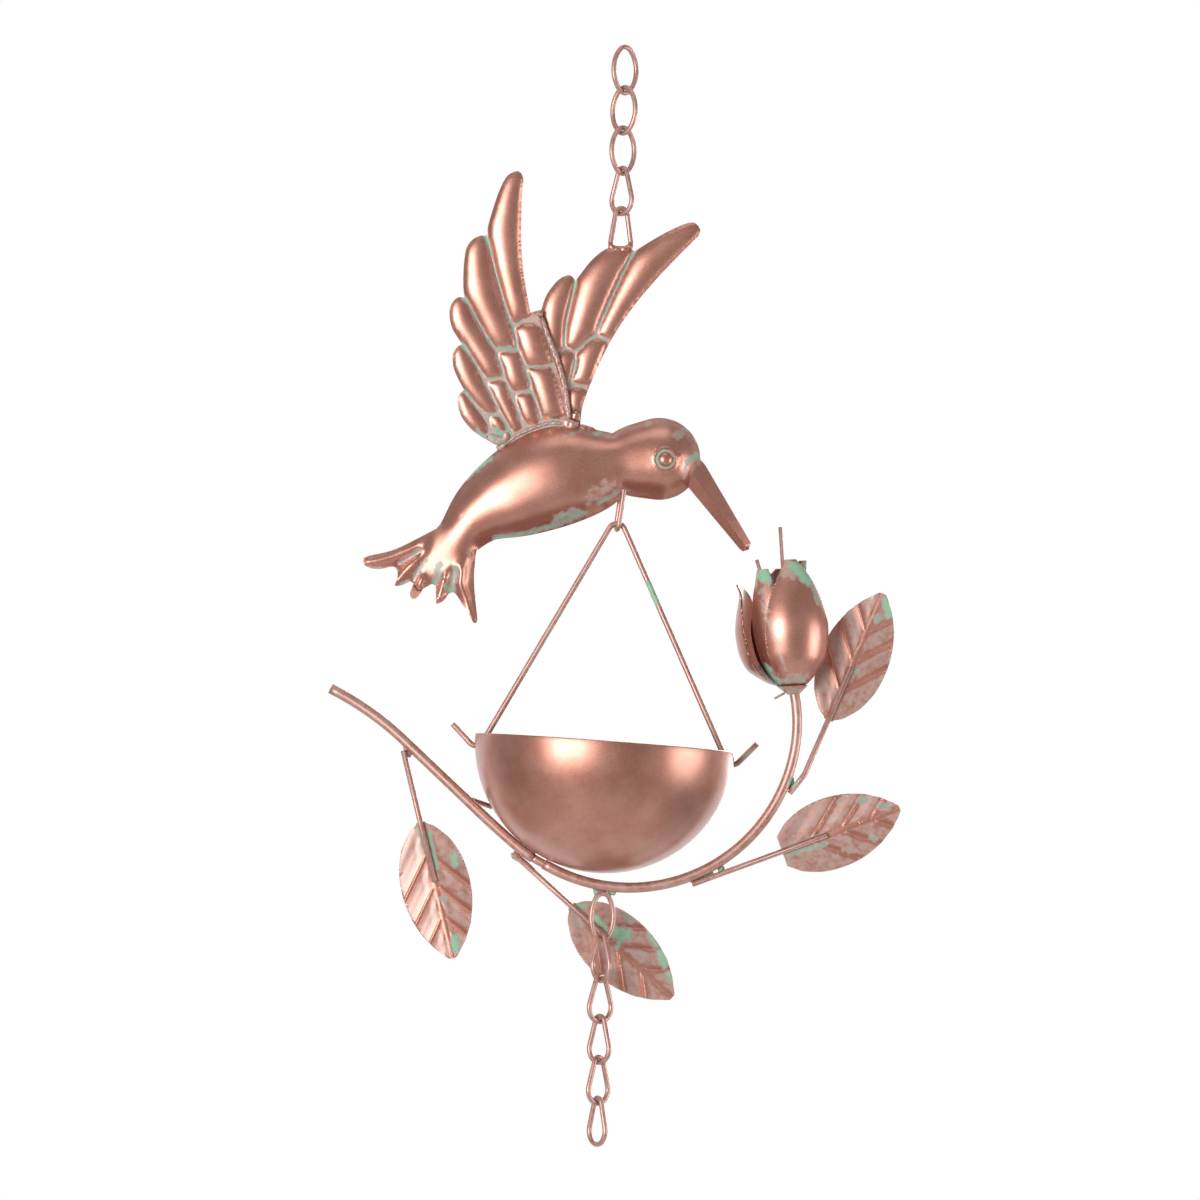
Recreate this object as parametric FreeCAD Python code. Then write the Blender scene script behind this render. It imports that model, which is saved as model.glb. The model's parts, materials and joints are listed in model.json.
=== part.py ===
"""Hummingbird rain-chain unit: a chain, a stamped bird, a bowl on a wire bail and a leafy branch.

Frame: +Z up, +X to the right of the bird's near side, -Y towards the near side.
The origin is the inside of the top bend of the hanging link, where the gutter hook carries it.
"""
import FreeCAD, Part
import math
import os

os.makedirs("parts", exist_ok=True)
V = FreeCAD.Vector

# Chain
CHAIN_WIRE = 2.0
LINK_LENGTH = 19.9
LINK_GAP = 0.15
OVAL_END_RATIO = 0.68
PEAR_TOP_RADIUS = 2.4
UPPER_LINKS = (
    ("hanger_link", "oval", 14.4, 45),
    ("upper_link_1", "oval", 14.4, -45),
    ("upper_link_2", "oval", 14.4, 45),
    ("upper_link_3", "pear", 12.9, -45),
    ("wing_link", "pear", 10.4, 20),
)
LOWER_LINKS = (
    ("branch_link", "oval", 11.2, 22),
    ("lower_link_1", "pear", 14.0, -58),
    ("lower_link_2", "pear", 13.0, 40),
    ("lower_link_3", "pear", 12.6, -45),
    ("lower_link_4", "pear", 12.6, 45),
    ("lower_link_5", "pear", 12.6, -55),
)

# Bird, drawn from the seat of the wing link downwards
SHEET = 0.8
BIRD_SEAT_Z = -80.9
BODY_GRID = 2.2
BODY_BOX = (-82, 38, -214, -138)
HALF_DEPTH = 40.0
BODY_DISCS = (
    (-70.0, -203.0, 7.0, 1.2),
    (-65.0, -197.0, 8.2, 2.4),
    (-59.4, -190.5, 8.8, 4.6),
    (-50.1, -180.3, 12.6, 8.3),
    (-36.4, -172.7, 17.8, 11.2),
    (-22.9, -166.5, 20.0, 12.4),
    (-10.6, -164.6, 16.4, 11.0),
    (0.6, -161.2, 11.7, 8.8),
    (9.0, -160.0, 14.2, 9.6),
    (17.3, -159.1, 16.0, 10.4),
)
BEAK_SECTIONS = (
    ((31.6, -157.4), (28.4, -161.6, 5.0), (26.4, -167.8)),
    ((35.0, -161.2), (31.6, -165.2, 4.6), (29.4, -170.9)),
    ((53.4, -191.0), (51.2, -191.0, 1.7), (48.9, -193.2)),
    ((52.5, -193.5), (51.6, -193.3, 0.7), (50.3, -194.3)),
)
EYE_X = 19.3
EYE_Z = -159.9
EYE_RING = 3.5
EYE_BEAD = 2.4
TAIL_BASE = 1.35
TAIL_RIDGE = 1.5
TAIL_GRID = 1.6
TAIL_FEATHERS = (
    ((-66, -193, 5.0), (-80, -197.4, 3.6), (-94, -201.6, 2.0)),
    ((-66, -195, 5.0), (-75, -202, 3.2), (-83, -209.5, 1.4)),
    ((-64, -196, 5.0), (-70, -204, 3.2), (-74.5, -211, 1.8)),
    ((-62, -196, 5.0), (-65, -206, 3.0), (-67, -216, 1.5)),
    ((-58, -194, 5.0), (-56.5, -206, 3.0), (-53, -223, 1.5)),
)
TAIL_LOBES = (
    ((-56, -186), (-62, -182.5), (-65.2, -184.5), (-68.7, -188.5)),
    ((-68.7, -188.5), (-76.4, -192.8), (-85.2, -197.2), (-95.1, -199.9), (-96.8, -201.8), (-95.1, -203.9),
     (-90.5, -204.6), (-85.2, -203.5), (-83.4, -205.0)),
    ((-83.4, -205.0), (-83.2, -207.5), (-84.3, -211.0)),
    ((-84.3, -211.0), (-81.5, -210.6), (-78.4, -209.0)),
    ((-78.4, -209.0), (-76.7, -210.2), (-75.0, -212.4), (-72.6, -211.4), (-70.3, -210.0)),
    ((-70.3, -210.0), (-68.6, -210.4), (-68.2, -213.0), (-68.0, -217.6)),
    ((-68.0, -217.6), (-65.3, -216.3), (-63.0, -213.4), (-61.5, -213.0), (-59.9, -214.4), (-56.0, -220.4),
     (-53.2, -224.6), (-51.9, -223.6), (-52.4, -219.1), (-53.5, -209.2), (-53.3, -200.4), (-52.7, -196.0)),
    ((-52.7, -196.0), (-51.5, -191.0), (-56, -186)),
)
REAR_MIDDLE_FEATHER = ((-72.0, -208.0, 2.6), (-76.3, -214.2, 1.9))

# Wings
WING_SHEET = 0.7
WING_GRID = 1.9
WING_BASE_Z = -147.0
FRONT_WING_Y = -1.5
FRONT_WING_LEAN = 7.0
REAR_WING_Y = 1.9
FEATHER_RISE = 0.34
FRONT_FEATHERS = (
    ((-41.2, -52.0, 2.8), (-43.4, -64.0, 5.4), (-43.0, -84.0, 6.3), (-40.4, -98.0, 5.2),
     (-38.2, -105.0, 3.6)),
    ((-55.4, -78.6, 3.6), (-55.6, -87.0, 5.2), (-51.0, -101.0, 6.0), (-45.5, -112.0, 4.8),
     (-42.4, -116.6, 3.2)),
    ((-62.4, -102.0, 3.0), (-57.5, -110.8, 4.4), (-51.5, -120.0, 4.2), (-47.2, -126.6, 2.8)),
    ((-61.6, -121.2, 2.4), (-56.3, -130.4, 3.7), (-51.0, -137.6, 3.0), (-48.6, -141.0, 1.8)),
    ((-59.4, -139.0, 2.2), (-55.5, -144.2, 3.2), (-51.6, -148.0, 2.0)),
    ((-34.6, -113.0, 4.4), (-32.6, -119.6, 4.4)),
    ((-30.0, -129.6, 4.2), (-26.4, -140.0, 3.4)),
    ((-41.2, -123.4, 2.9), (-37.6, -130.6, 2.8)),
    ((-36.2, -139.0, 2.6), (-34.4, -142.6, 2.4)),
    ((-46.2, -133.4, 2.2), (-42.6, -141.0, 2.6), (-39.8, -147.2, 1.8)),
)
FRONT_WING_LOBES = (
    ((-34.3, -103.7), (-37.2, -89.0), (-38.5, -75.7), (-38.6, -60.3), (-38.2, -52.3)),
    ((-38.2, -52.3), (-39.2, -50.0), (-41.2, -49.4), (-44.7, -51.5), (-47.8, -58.0), (-50.8, -68.0),
     (-52.2, -74.5)),
    ((-52.2, -74.5), (-54.5, -74.6), (-57.3, -76.1), (-59.6, -79.5), (-60.5, -86.4), (-60.5, -94.1),
     (-60.0, -98.7)),
    ((-60.0, -98.7), (-62.6, -98.6), (-65.0, -101.4), (-65.6, -105.6), (-64.2, -111.0), (-60.4, -116.7)),
    ((-60.4, -116.7), (-62.6, -118.0), (-64.0, -121.7), (-63.1, -127.1), (-59.3, -134.3)),
    ((-59.3, -134.3), (-61.0, -136.0), (-61.7, -138.9), (-60.0, -144.7), (-55.4, -150.1), (-49.3, -153.9),
     (-44.7, -156.2)),
    ((-44.7, -156.2), (-41.0, -156.4), (-33.0, -151.6), (-23.0, -149.0), (-17.5, -149.3)),
    ((-17.5, -149.3), (-19.0, -143.0), (-20.5, -134.5), (-24.0, -124.0), (-28.2, -114.0), (-30.4, -106.0)),
    ((-30.4, -106.0), (-32.0, -104.2), (-34.3, -103.7)),
)
REAR_FEATHERS = (
    ((27.6, -69.8, 2.7), (18.0, -77.0, 5.0), (5.0, -91.0, 5.9), (-3.6, -105.0, 4.6),
     (-6.8, -110.6, 3.2)),
    ((-1.5, -83.4, 4.4), (-8.6, -95.6, 6.7), (-14.0, -108.0, 5.4), (-16.4, -114.0, 3.4)),
    ((-20.6, -93.4, 3.6), (-23.6, -102.0, 5.6), (-24.6, -112.0, 4.4), (-24.6, -118.0, 2.4)),
    ((-20.2, -122.8, 2.8), (-20.0, -129.6, 1.8)),
    ((-10.6, -118.6, 4.0), (-14.0, -127.6, 2.8)),
    ((-15.8, -134.6, 2.3), (-15.8, -139.6, 2.0)),
)
REAR_WING_LOBES = (
    ((-14.0, -149.0), (-13.4, -140.0), (-10.2, -130.1), (-6.4, -120.9), (-1.0, -110.2), (6.7, -98.7),
     (14.4, -89.1), (22.0, -80.7), (30.1, -72.2)),
    ((30.1, -72.2), (30.6, -69.5), (27.8, -67.0), (22.0, -68.8), (13.6, -73.4), (5.5, -78.7)),
    ((5.5, -78.7), (0.5, -76.8), (-5.4, -78.0), (-11.0, -82.5), (-15.5, -88.4), (-17.1, -90.7)),
    ((-17.1, -90.7), (-19.8, -88.6), (-24.2, -90.9), (-28.4, -96.8), (-30.3, -102.9)),
    ((-30.3, -102.9), (-29.0, -112.0), (-24.5, -127.0), (-21.0, -140.0), (-20.5, -149.0)),
    ((-20.5, -149.0), (-17.2, -149.8), (-14.0, -149.0)),
)

# Eye on the breast and the bail that hangs from it
BREAST_EYE_X = 1.3
BREAST_EYE_TOP_Z = -168.0
BREAST_EYE_BOTTOM_Z = -188.0
BREAST_EYE_WIRE = 2.0
BREAST_EYE_BEND = 2.7
BREAST_EYE_YAW = 10
BREAST_EYE_TILT = 7
BAIL_WIRE = 2.2
BAIL_APEX_BEND = 3.3
BAIL_HOOK_BEND = 3.0
BAIL_HEIGHT = 85.0
HOOK_REACH = 9.2
HOOK_RISE = 8.2

# Bowl
BOWL_RADIUS = 50.5
BOWL_WALL = 0.8
BOWL_OFFSET_X = -2.5
BOWL_TILT = 2.8
BOWL_HOLE = 4.8
HOOK_DROP = 4.8

# Branch, in polar angles about the bowl's centre with the rod's stand-off from the bowl
ROD = 4.0
TOUCH = 0.03
BRANCH_FORWARD = 1.9
LEFT_ROD = ((239.3, 0.0), (231.0, 0.0), (208.0, 3.8), (180.7, 25.3), (170.3, 55.8))
RIGHT_ROD_START = (244.5, 0.0)
RIGHT_ROD_MIDDLE = (321.2, 12.6)
RIGHT_ROD_TURN = (359.9, 21.0)
RIGHT_ROD_END = (18.2, 23.3)
ROD_JOINT = 3.2
BRACE_WIRE = 2.0
BRACE_ANGLE = 202.5
BRACE_FOOT = (210.6, 9.5)
BRANCH_LINK_ANGLE = 270.6

# Leaves: a leaf has its rod and angle, its stem's points, and the blade's length, width, overlap and trim
STEM = 2.2
LEAF_SHEET = 0.6
LEAF_PLEAT = 0.45
LEAF_VEIN_PITCH = 12.6
LEAF_VEIN_OFFSET = 0.8
LEAF_SWEEP = 1.25
LEAF_BOW = 1.6
STEM_BEND = 9.0
LEAF_PROFILE = ((0.0, 0.14), (0.06, 0.42), (0.16, 0.72), (0.3, 0.93), (0.46, 1.0), (0.62, 0.94), (0.78, 0.74),
                (0.9, 0.46), (0.97, 0.22), (1.0, 0.09))
LEAVES = (
    ("leaf_left", "left", 182.0, ((13.4, 1.2, -50.4),), 54.0, 26.8, 23.6, 0.0),
    ("leaf_low", "left", 231.5, ((38.2, 9.3, -33.0),), 54.0, 26.2, 20.4, 0.0),
    ("leaf_right", "right", 303.5, ((51.6, 1.6, 20.3),), 52.0, 27.6, 21.8, 0.065),
    ("leaf_top", "right", 346.5, ((5.6, 1.4, 7.4), (22.9, 5.4, 49.4)), 54.0, 26.6, 22.4, 0.0),
)

# Flower; a petal has its azimuth, its layer, and heights, radii and half spans from foot to tip
FLOWER_LEAN = 4.4
FLOWER_BASE = (2.4, 6.0, 3.2)
PETAL_SHEET = 0.7
PETAL_LAYER = 1.3
PETAL_TUCK = 2.2
PETALS = (
    ("petal_front", 16, 1, (0, 3, 10, 20, 28, 36, 43, 48.8), (5.0, 8.2, 12.0, 14.0, 13.6, 11.4, 8.4, 4.6),
     (40, 50, 58, 58, 54, 48, 38, 24)),
    ("petal_left", -72, 0, (0, 3, 10, 20, 28, 35, 41, 45.6), (5.0, 8.2, 11.8, 14.2, 14.6, 13.9, 12.8, 12.0),
     (40, 48, 52, 52, 48, 44, 36, 20)),
    ("petal_right", 104, 0, (0, 3, 10, 20, 28, 36, 43, 48.4), (5.0, 8.2, 11.8, 14.2, 13.4, 10.8, 8.2, 8.2),
     (40, 48, 52, 52, 48, 42, 30, 9)),
    ("petal_back", 196, 1, (0, 3, 10, 20, 28, 36, 42, 46), (5.0, 8.2, 12.0, 14.2, 13.8, 11.6, 9.0, 6.6),
     (40, 50, 58, 58, 54, 46, 34, 16)),
    ("petal_outer", -104, 3, (0, 2.5, 7, 13, 22, 30, 36, 40.4), (5.9, 9.4, 13.4, 16.2, 17.3, 16.2, 15.0, 15.9),
     (34, 44, 48, 48, 44, 36, 24, 7)),
)
STAMEN_WIRE = 1.5
SHORT_STAMEN = ((-1.2, 0.0, 2.0), (-8.0, 4.8, 40.0), (-11.2, 5.2, 53.0))
LONG_STAMEN = ((1.2, 0.0, 2.0), (-1.2, 0.0, 30.0), (-1.6, 0.0, 65.0))
FLOWER_SINK = 3.2
BINDING_WIRE = 0.9
BINDING_RUN = ((-0.95, -1.2, 0.6), (-5.0, -1.6, -1.3))


# Plain geometry
def save(name, shape):
    shape.exportStep("parts/" + name + ".step")


def flat(x, z, y=0.0):
    return V(x, y, z)


def polar(centre, angle, radius):
    a = math.radians(angle)
    return flat(centre.x + radius * math.cos(a), centre.z + radius * math.sin(a))


def catmull(p0, p1, p2, p3, t):
    """One value between p1 and p2 on a smooth curve through all four."""
    return 0.5 * (2 * p1 + (p2 - p0) * t + (2 * p0 - 5 * p1 + 4 * p2 - p3) * t * t
                  + (3 * p1 - p0 - 3 * p2 + p3) * t * t * t)


def smooth_rows(rows, steps):
    """A list of number rows refined along a smooth curve through them."""
    out = []
    for i in range(len(rows) - 1):
        before = rows[max(i - 1, 0)]
        after = rows[min(i + 2, len(rows) - 1)]
        for k in range(steps):
            t = k / steps
            out.append(tuple(catmull(before[n], rows[i][n], rows[i + 1][n], after[n], t)
                             for n in range(len(rows[i]))))
    out.append(tuple(float(v) for v in rows[-1]))
    return out


def lookup(table, at):
    """The smooth value at one station of a two-column table."""
    last = len(table) - 2
    i = 0
    while i < last and table[i + 1][0] < at:
        i += 1
    t = (at - table[i][0]) / (table[i + 1][0] - table[i][0])
    return catmull(table[max(i - 1, 0)][1], table[i][1], table[i + 1][1], table[min(i + 2, last + 1)][1], t)


def wire_along(edges, diameter):
    """A round wire swept along joined edges."""
    path = Part.Wire(Part.__sortEdges__(edges))
    first = path.OrderedEdges[0]
    start = path.OrderedVertexes[0].Point
    at_first = first.valueAt(first.FirstParameter).sub(start).Length < 1e-6
    tangent = first.tangentAt(first.FirstParameter if at_first else first.LastParameter)
    ring = Part.Wire([Part.Circle(start, tangent, diameter / 2).toShape()])
    return path.makePipeShell([ring], True, False)


def straight_wire(points, diameter, bend):
    """A wire of straight runs with rounded corners through points in space."""
    edges = []
    start = points[0]
    for i in range(1, len(points) - 1):
        a = points[i - 1].sub(points[i]).normalize()
        b = points[i + 1].sub(points[i]).normalize()
        half = a.getAngle(b) / 2
        run = bend / math.tan(half)
        first = points[i].add(a * run)
        last = points[i].add(b * run)
        middle = points[i].add(a.add(b).normalize() * (bend / math.sin(half) - bend))
        edges.append(Part.makeLine(start, first))
        edges.append(Part.Arc(first, middle, last).toShape())
        start = last
    edges.append(Part.makeLine(start, points[-1]))
    return wire_along(edges, diameter)


def taut_edges(stops):
    """Lines and arcs of a path that runs round circles (x, z, radius, +1 left turn or -1 right turn)."""
    headings = []
    for (x1, z1, r1, s1), (x2, z2, r2, s2) in zip(stops, stops[1:]):
        gap = math.hypot(x2 - x1, z2 - z1)
        headings.append(math.atan2(z2 - z1, x2 - x1) + math.asin((s1 * r1 - s2 * r2) / gap))

    def touch(stop, heading):
        x, z, r, side = stop
        return flat(x + side * r * math.sin(heading), z - side * r * math.cos(heading))

    edges = []
    for i, heading in enumerate(headings):
        edges.append(Part.makeLine(touch(stops[i], heading), touch(stops[i + 1], heading)))
        if i + 1 < len(headings):
            middle = touch(stops[i + 1], (heading + headings[i + 1]) / 2)
            last = touch(stops[i + 1], headings[i + 1])
            edges.append(Part.Arc(touch(stops[i + 1], heading), middle, last).toShape())
    return edges


def arc_on(start, heading, end):
    """The arc that leaves start along heading and ends at end, with its last heading."""
    chord = end.sub(start)
    along = V(chord).normalize()
    turn = math.atan2(along.z * heading.x - along.x * heading.z, along.dot(heading))
    side = V(-along.z, 0, along.x)
    middle = start.add(chord * 0.5).sub(side * (chord.Length / 2 * math.tan(turn / 2)))
    last = along * (2 * along.dot(heading)) - heading
    return Part.Arc(start, middle, end).toShape(), last


# Height fields for stamped sheet
def envelope(rows, x, z):
    """How far inside a run of discs a point lies, 1 on the spine and 0 outside, and the spine's height."""
    scores = [1 - ((x - row[0]) ** 2 + (z - row[1]) ** 2) / row[2] ** 2 for row in rows]
    best = max(range(len(rows)), key=scores.__getitem__)
    height = rows[best][3] if len(rows[best]) > 3 else 0.0
    if 0 < best < len(rows) - 1:
        low, mid, high = scores[best - 1:best + 2]
        bend = low - 2 * mid + high
        shift = 0.5 * (low - high) / bend if bend < 0 else 0.0
        height += shift * (rows[best + 1][3] - rows[best - 1][3]) / 2 if len(rows[best]) > 3 else 0.0
        return mid - 0.25 * (low - high) * shift, height
    return scores[best], height


def dome(score):
    return score * (1.6 - 0.6 * score) if score > 0 else 1.6 * score


def feather_height(feathers, x, z):
    """Rise of the highest feather over a point of the sheet."""
    rise = 0.0
    for rows in feathers:
        score, _ = envelope(rows, x, z)
        if score > 0:
            widest = max(row[2] for row in rows)
            rise = max(rise, FEATHER_RISE * widest * dome(score))
    return rise


def height_face(height, box, step):
    """The face y = -height(x, z) over a box (x0, x1, z0, z1)."""
    x0, x1, z0, z1 = box
    nx = int((x1 - x0) / step) + 1
    nz = int((z1 - z0) / step) + 1
    rows = []
    for i in range(nx + 1):
        x = x0 + (x1 - x0) * i / nx
        column = [z0 + (z1 - z0) * j / nz for j in range(nz + 1)]
        rows.append([flat(x, z, -height(x, z)) for z in column])
    surface = Part.BSplineSurface()
    surface.interpolate(rows)
    return surface.toShape()


def lobed_prism(lobes, depth):
    """A prism through the sheet with an outline of smooth lobes that meet in notches."""
    edges = []
    for lobe in lobes:
        curve = Part.BSplineCurve()
        curve.interpolate([flat(x, z, -depth) for x, z in lobe])
        edges.append(curve.toShape())
    return Part.Face(Part.Wire(edges)).extrude(V(0, 2 * depth, 0))


def lobes_box(lobes, margin):
    xs = [x for lobe in lobes for x, _ in lobe]
    zs = [z for lobe in lobes for _, z in lobe]
    return min(xs) - margin, max(xs) + margin, min(zs) - margin, max(zs) + margin


def stamped_sheet(height, lobes, step, thickness):
    """A stamped sheet with raised relief on its near side and the same hollow behind."""
    face = height_face(lambda x, z: height(x, z) + thickness, lobes_box(lobes, 3.0), step)
    trimmed = face.common(lobed_prism(lobes, 20.0)).Faces[0]
    return trimmed.extrude(V(0, thickness, 0)).Solids[0]


def skin(outer, inner):
    """A closed sheet between two grids of points."""
    faces = []
    borders = []
    for grid in (outer, inner):
        surface = Part.BSplineSurface()
        surface.interpolate(grid)
        u0, u1, v0, v1 = surface.bounds()
        faces.append(surface.toShape())
        borders.append([surface.uIso(u0), surface.uIso(u1), surface.vIso(v0), surface.vIso(v1)])
    for a, b in zip(*borders):
        faces.append(Part.makeRuledSurface(a.toShape(), b.toShape()))
    shell = Part.makeShell(faces)
    shell.sewShape()
    solid = Part.makeSolid(Part.Shell(shell.Faces) if not shell.isClosed() else shell)
    if solid.Volume < 0:
        solid.reverse()
    return solid


# Chain links
def oval_edges(width):
    """Centre line of a four-arc oval link about its own middle."""
    a = (LINK_LENGTH - CHAIN_WIRE) / 2
    b = (width - CHAIN_WIRE) / 2
    r = b * OVAL_END_RATIO
    c = ((a - r) ** 2 - (b - r) ** 2) / (2 * (b - r))
    reach = math.hypot(c, a - r)
    jx = r * c / reach
    jz = (a - r) + r * (a - r) / reach
    runs = (((-jx, jz), (0, a), (jx, jz)), ((jx, jz), (b, 0), (jx, -jz)),
            ((jx, -jz), (0, -a), (-jx, -jz)), ((-jx, -jz), (-b, 0), (-jx, jz)))
    return [Part.Arc(*(flat(*p) for p in run)).toShape() for run in runs]


def pear_edges(width):
    """Centre line of a pear link, narrow at the top, about its own middle."""
    a = (LINK_LENGTH - CHAIN_WIRE) / 2
    top = PEAR_TOP_RADIUS
    low = (width - CHAIN_WIRE) / 2
    lean = math.asin((low - top) / (2 * a - top - low))
    tx, tz = top * math.cos(lean), a - top + top * math.sin(lean)
    bx, bz = low * math.cos(lean), -a + low + low * math.sin(lean)
    crown = Part.Arc(flat(-tx, tz), flat(0, a), flat(tx, tz)).toShape()
    seat = Part.Arc(flat(bx, bz), flat(0, -a), flat(-bx, bz)).toShape()
    sides = [Part.makeLine(flat(k * tx, tz), flat(k * bx, bz)) for k in (1, -1)]
    return [crown, sides[0], seat, sides[1]]


def link(shape, width, yaw, top):
    """One closed link with the outside of its top bend at a point."""
    edges = oval_edges(width) if shape == "oval" else pear_edges(width)
    solid = wire_along(edges, CHAIN_WIRE)
    solid.rotate(V(0, 0, 0), V(0, 0, 1), yaw)
    solid.translate(top.add(V(0, 0, -LINK_LENGTH / 2)))
    return solid


def link_pitch():
    return LINK_LENGTH - 2 * CHAIN_WIRE - LINK_GAP


def chain(rows, top):
    """Links hooked one through the next, each a pitch lower."""
    out = {}
    for i, (name, shape, width, yaw) in enumerate(rows):
        out[name] = link(shape, width, yaw, top.add(V(0, 0, -i * link_pitch())))
    return out


# Bird
def body_solid(shrink):
    """One half of the body up to the seam plane, or its hollow when shrunk by the sheet."""
    rows = smooth_rows([(x, z, r - shrink, h - shrink) for x, z, r, h in BODY_DISCS if h > 2 * shrink], 9)

    def height(x, z):
        score, tall = envelope(rows, x, z)
        return tall * dome(score) if score > 0 else 4.0 * score
    face = height_face(height, BODY_BOX, BODY_GRID)
    x0, x1, z0, z1 = BODY_BOX
    near_side = Part.makeBox(x1 - x0, HALF_DEPTH, z1 - z0, V(x0, -HALF_DEPTH, z0))
    return face.extrude(V(0, 2 * HALF_DEPTH, 0)).common(near_side)


def body_height(x, z):
    score, tall = envelope(smooth_rows(BODY_DISCS, 9), x, z)
    return tall * dome(score)


def beak_solid(shrink):
    """Half of the ridged beak, or its hollow when shrunk."""
    wires = []
    for (tx, tz), (rx, rz, ry), (bx, bz) in BEAK_SECTIONS:
        cx, cz = (tx + bx) / 2, (tz + bz) / 2
        k = 1 - min(0.8, shrink / math.hypot(tx - cx, tz - cz))
        corners = ((tx, tz, 0.0), (rx, rz, -ry), (bx, bz, 0.0))
        ring = [flat(cx + k * (x - cx), cz + k * (z - cz), k * y) for x, z, y in corners]
        wires.append(Part.makePolygon(ring + ring[:1]))
    return Part.makeLoft(wires[:3] if shrink else wires, True, True)


def tail_sheet(feathers):
    fans = [smooth_rows(rows, 8) for rows in feathers]

    def height(x, z):
        best = max(envelope(rows, x, z)[0] for rows in fans)
        return TAIL_BASE - SHEET + TAIL_RIDGE * dome(max(best, 0.0))
    return stamped_sheet(height, TAIL_LOBES, TAIL_GRID, SHEET)


def feather_tip(rows):
    """A flat rounded tip that reaches past the sheet's edge."""
    (x1, z1, r1), (x2, z2, r2) = rows
    edges = taut_edges([(x1, z1, 0, 1), (x2, z2, 0, 1)])
    length = math.hypot(x2 - x1, z2 - z1)
    blade = Part.makeBox(length, SHEET, 2 * r2, V(0, 0, -r2))
    blade = blade.fuse(Part.makeCylinder(r2, SHEET, V(length, 0, 0), V(0, 1, 0)))
    heading = edges[0].tangentAt(0)
    blade.rotate(V(0, 0, 0), V(0, -1, 0), math.degrees(math.atan2(heading.z, heading.x)))
    blade.translate(flat(x1, z1, -TAIL_BASE))
    return blade


def bird_half(rear):
    """One stamped half: hollow body and head, beak, tail fan and raised eye."""
    brow = -body_height(EYE_X, EYE_Z)
    bead = Part.makeSphere(EYE_BEAD, flat(EYE_X, EYE_Z, brow + 1.0))
    ring = Part.makeTorus(EYE_RING, 0.55, flat(EYE_X, EYE_Z, brow + 0.1), V(0, 1, 0))
    outer = body_solid(0.0).fuse(beak_solid(0.0)).cut(ring).fuse(bead)
    half = outer.fuse(tail_sheet(TAIL_FEATHERS))
    if rear:
        half = half.fuse(feather_tip(REAR_MIDDLE_FEATHER))
    half = half.cut(body_solid(SHEET)).cut(beak_solid(SHEET))
    half = max(half.Solids, key=lambda s: s.Volume)
    if rear:
        half = half.mirror(V(0, 0, 0), V(0, 1, 0))
    return half


def wing(feathers, lobes, base_y, lean):
    """A stamped wing with overlapping feathers, leaned towards the near side about its foot."""
    rows = [smooth_rows(f, 7) for f in feathers]
    sheet = stamped_sheet(lambda x, z: feather_height(rows, x, z), lobes, WING_GRID, WING_SHEET)
    sheet.translate(V(0, base_y, 0))
    sheet.rotate(flat(0, WING_BASE_Z, base_y), V(1, 0, 0), lean)
    return sheet


def rear_lean():
    """The lean that lays the rear wing's back against the wing link."""
    width, yaw = UPPER_LINKS[-1][2:]
    reach = (width - CHAIN_WIRE) / 2 * math.sin(math.radians(yaw)) + CHAIN_WIRE / 2 + TOUCH
    return math.degrees(math.atan((REAR_WING_Y + reach) / (BIRD_SEAT_Z - WING_BASE_Z)))


def breast_eye():
    """The wire staple under the breast that carries the bail."""
    low = BREAST_EYE_BOTTOM_Z + BREAST_EYE_WIRE / 2 + BREAST_EYE_BEND
    r = BREAST_EYE_BEND
    edges = [Part.makeLine(V(0, -r, BREAST_EYE_TOP_Z), V(0, -r, low)),
             Part.Arc(V(0, -r, low), V(0, 0, low - r), V(0, r, low)).toShape(),
             Part.makeLine(V(0, r, low), V(0, r, BREAST_EYE_TOP_Z))]
    staple = wire_along(edges, BREAST_EYE_WIRE)
    staple.rotate(V(0, 0, 0), V(0, 0, 1), BREAST_EYE_YAW)
    staple.rotate(V(0, 0, BREAST_EYE_BOTTOM_Z + BREAST_EYE_WIRE / 2), V(0, 1, 0), BREAST_EYE_TILT)
    staple.translate(V(BREAST_EYE_X, 0, 0))
    return staple


# Bail and bowl
def apex_point():
    """Centre of the bail's wire at its apex, resting in the eye."""
    return flat(BREAST_EYE_X, BREAST_EYE_BOTTOM_Z + BREAST_EYE_WIRE + LINK_GAP + BAIL_WIRE / 2)


def bowl_centre():
    apex = apex_point()
    return flat(apex.x + BOWL_OFFSET_X, apex.z - BAIL_HEIGHT)


def hook_point(side):
    """Centre of the bail's wire where it passes the bowl's wall."""
    wall = BOWL_RADIUS - BOWL_WALL / 2
    x = side * math.sqrt(wall ** 2 - HOOK_DROP ** 2)
    t = math.radians(BOWL_TILT)
    centre = bowl_centre()
    across = x * math.cos(t) - HOOK_DROP * math.sin(t)
    return flat(centre.x + across, centre.z - x * math.sin(t) - HOOK_DROP * math.cos(t))


def bail():
    apex = apex_point()
    left = hook_point(-1)
    right = hook_point(1)
    stops = [(left.x - HOOK_REACH, left.z + HOOK_RISE, 0, 1),
             (left.x, left.z + BAIL_HOOK_BEND, BAIL_HOOK_BEND, 1),
             (apex.x, apex.z - BAIL_APEX_BEND, BAIL_APEX_BEND, -1),
             (right.x, right.z + BAIL_HOOK_BEND, BAIL_HOOK_BEND, 1),
             (right.x + HOOK_REACH, right.z + HOOK_RISE, 0, 1)]
    return wire_along(taut_edges(stops), BAIL_WIRE)


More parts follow.
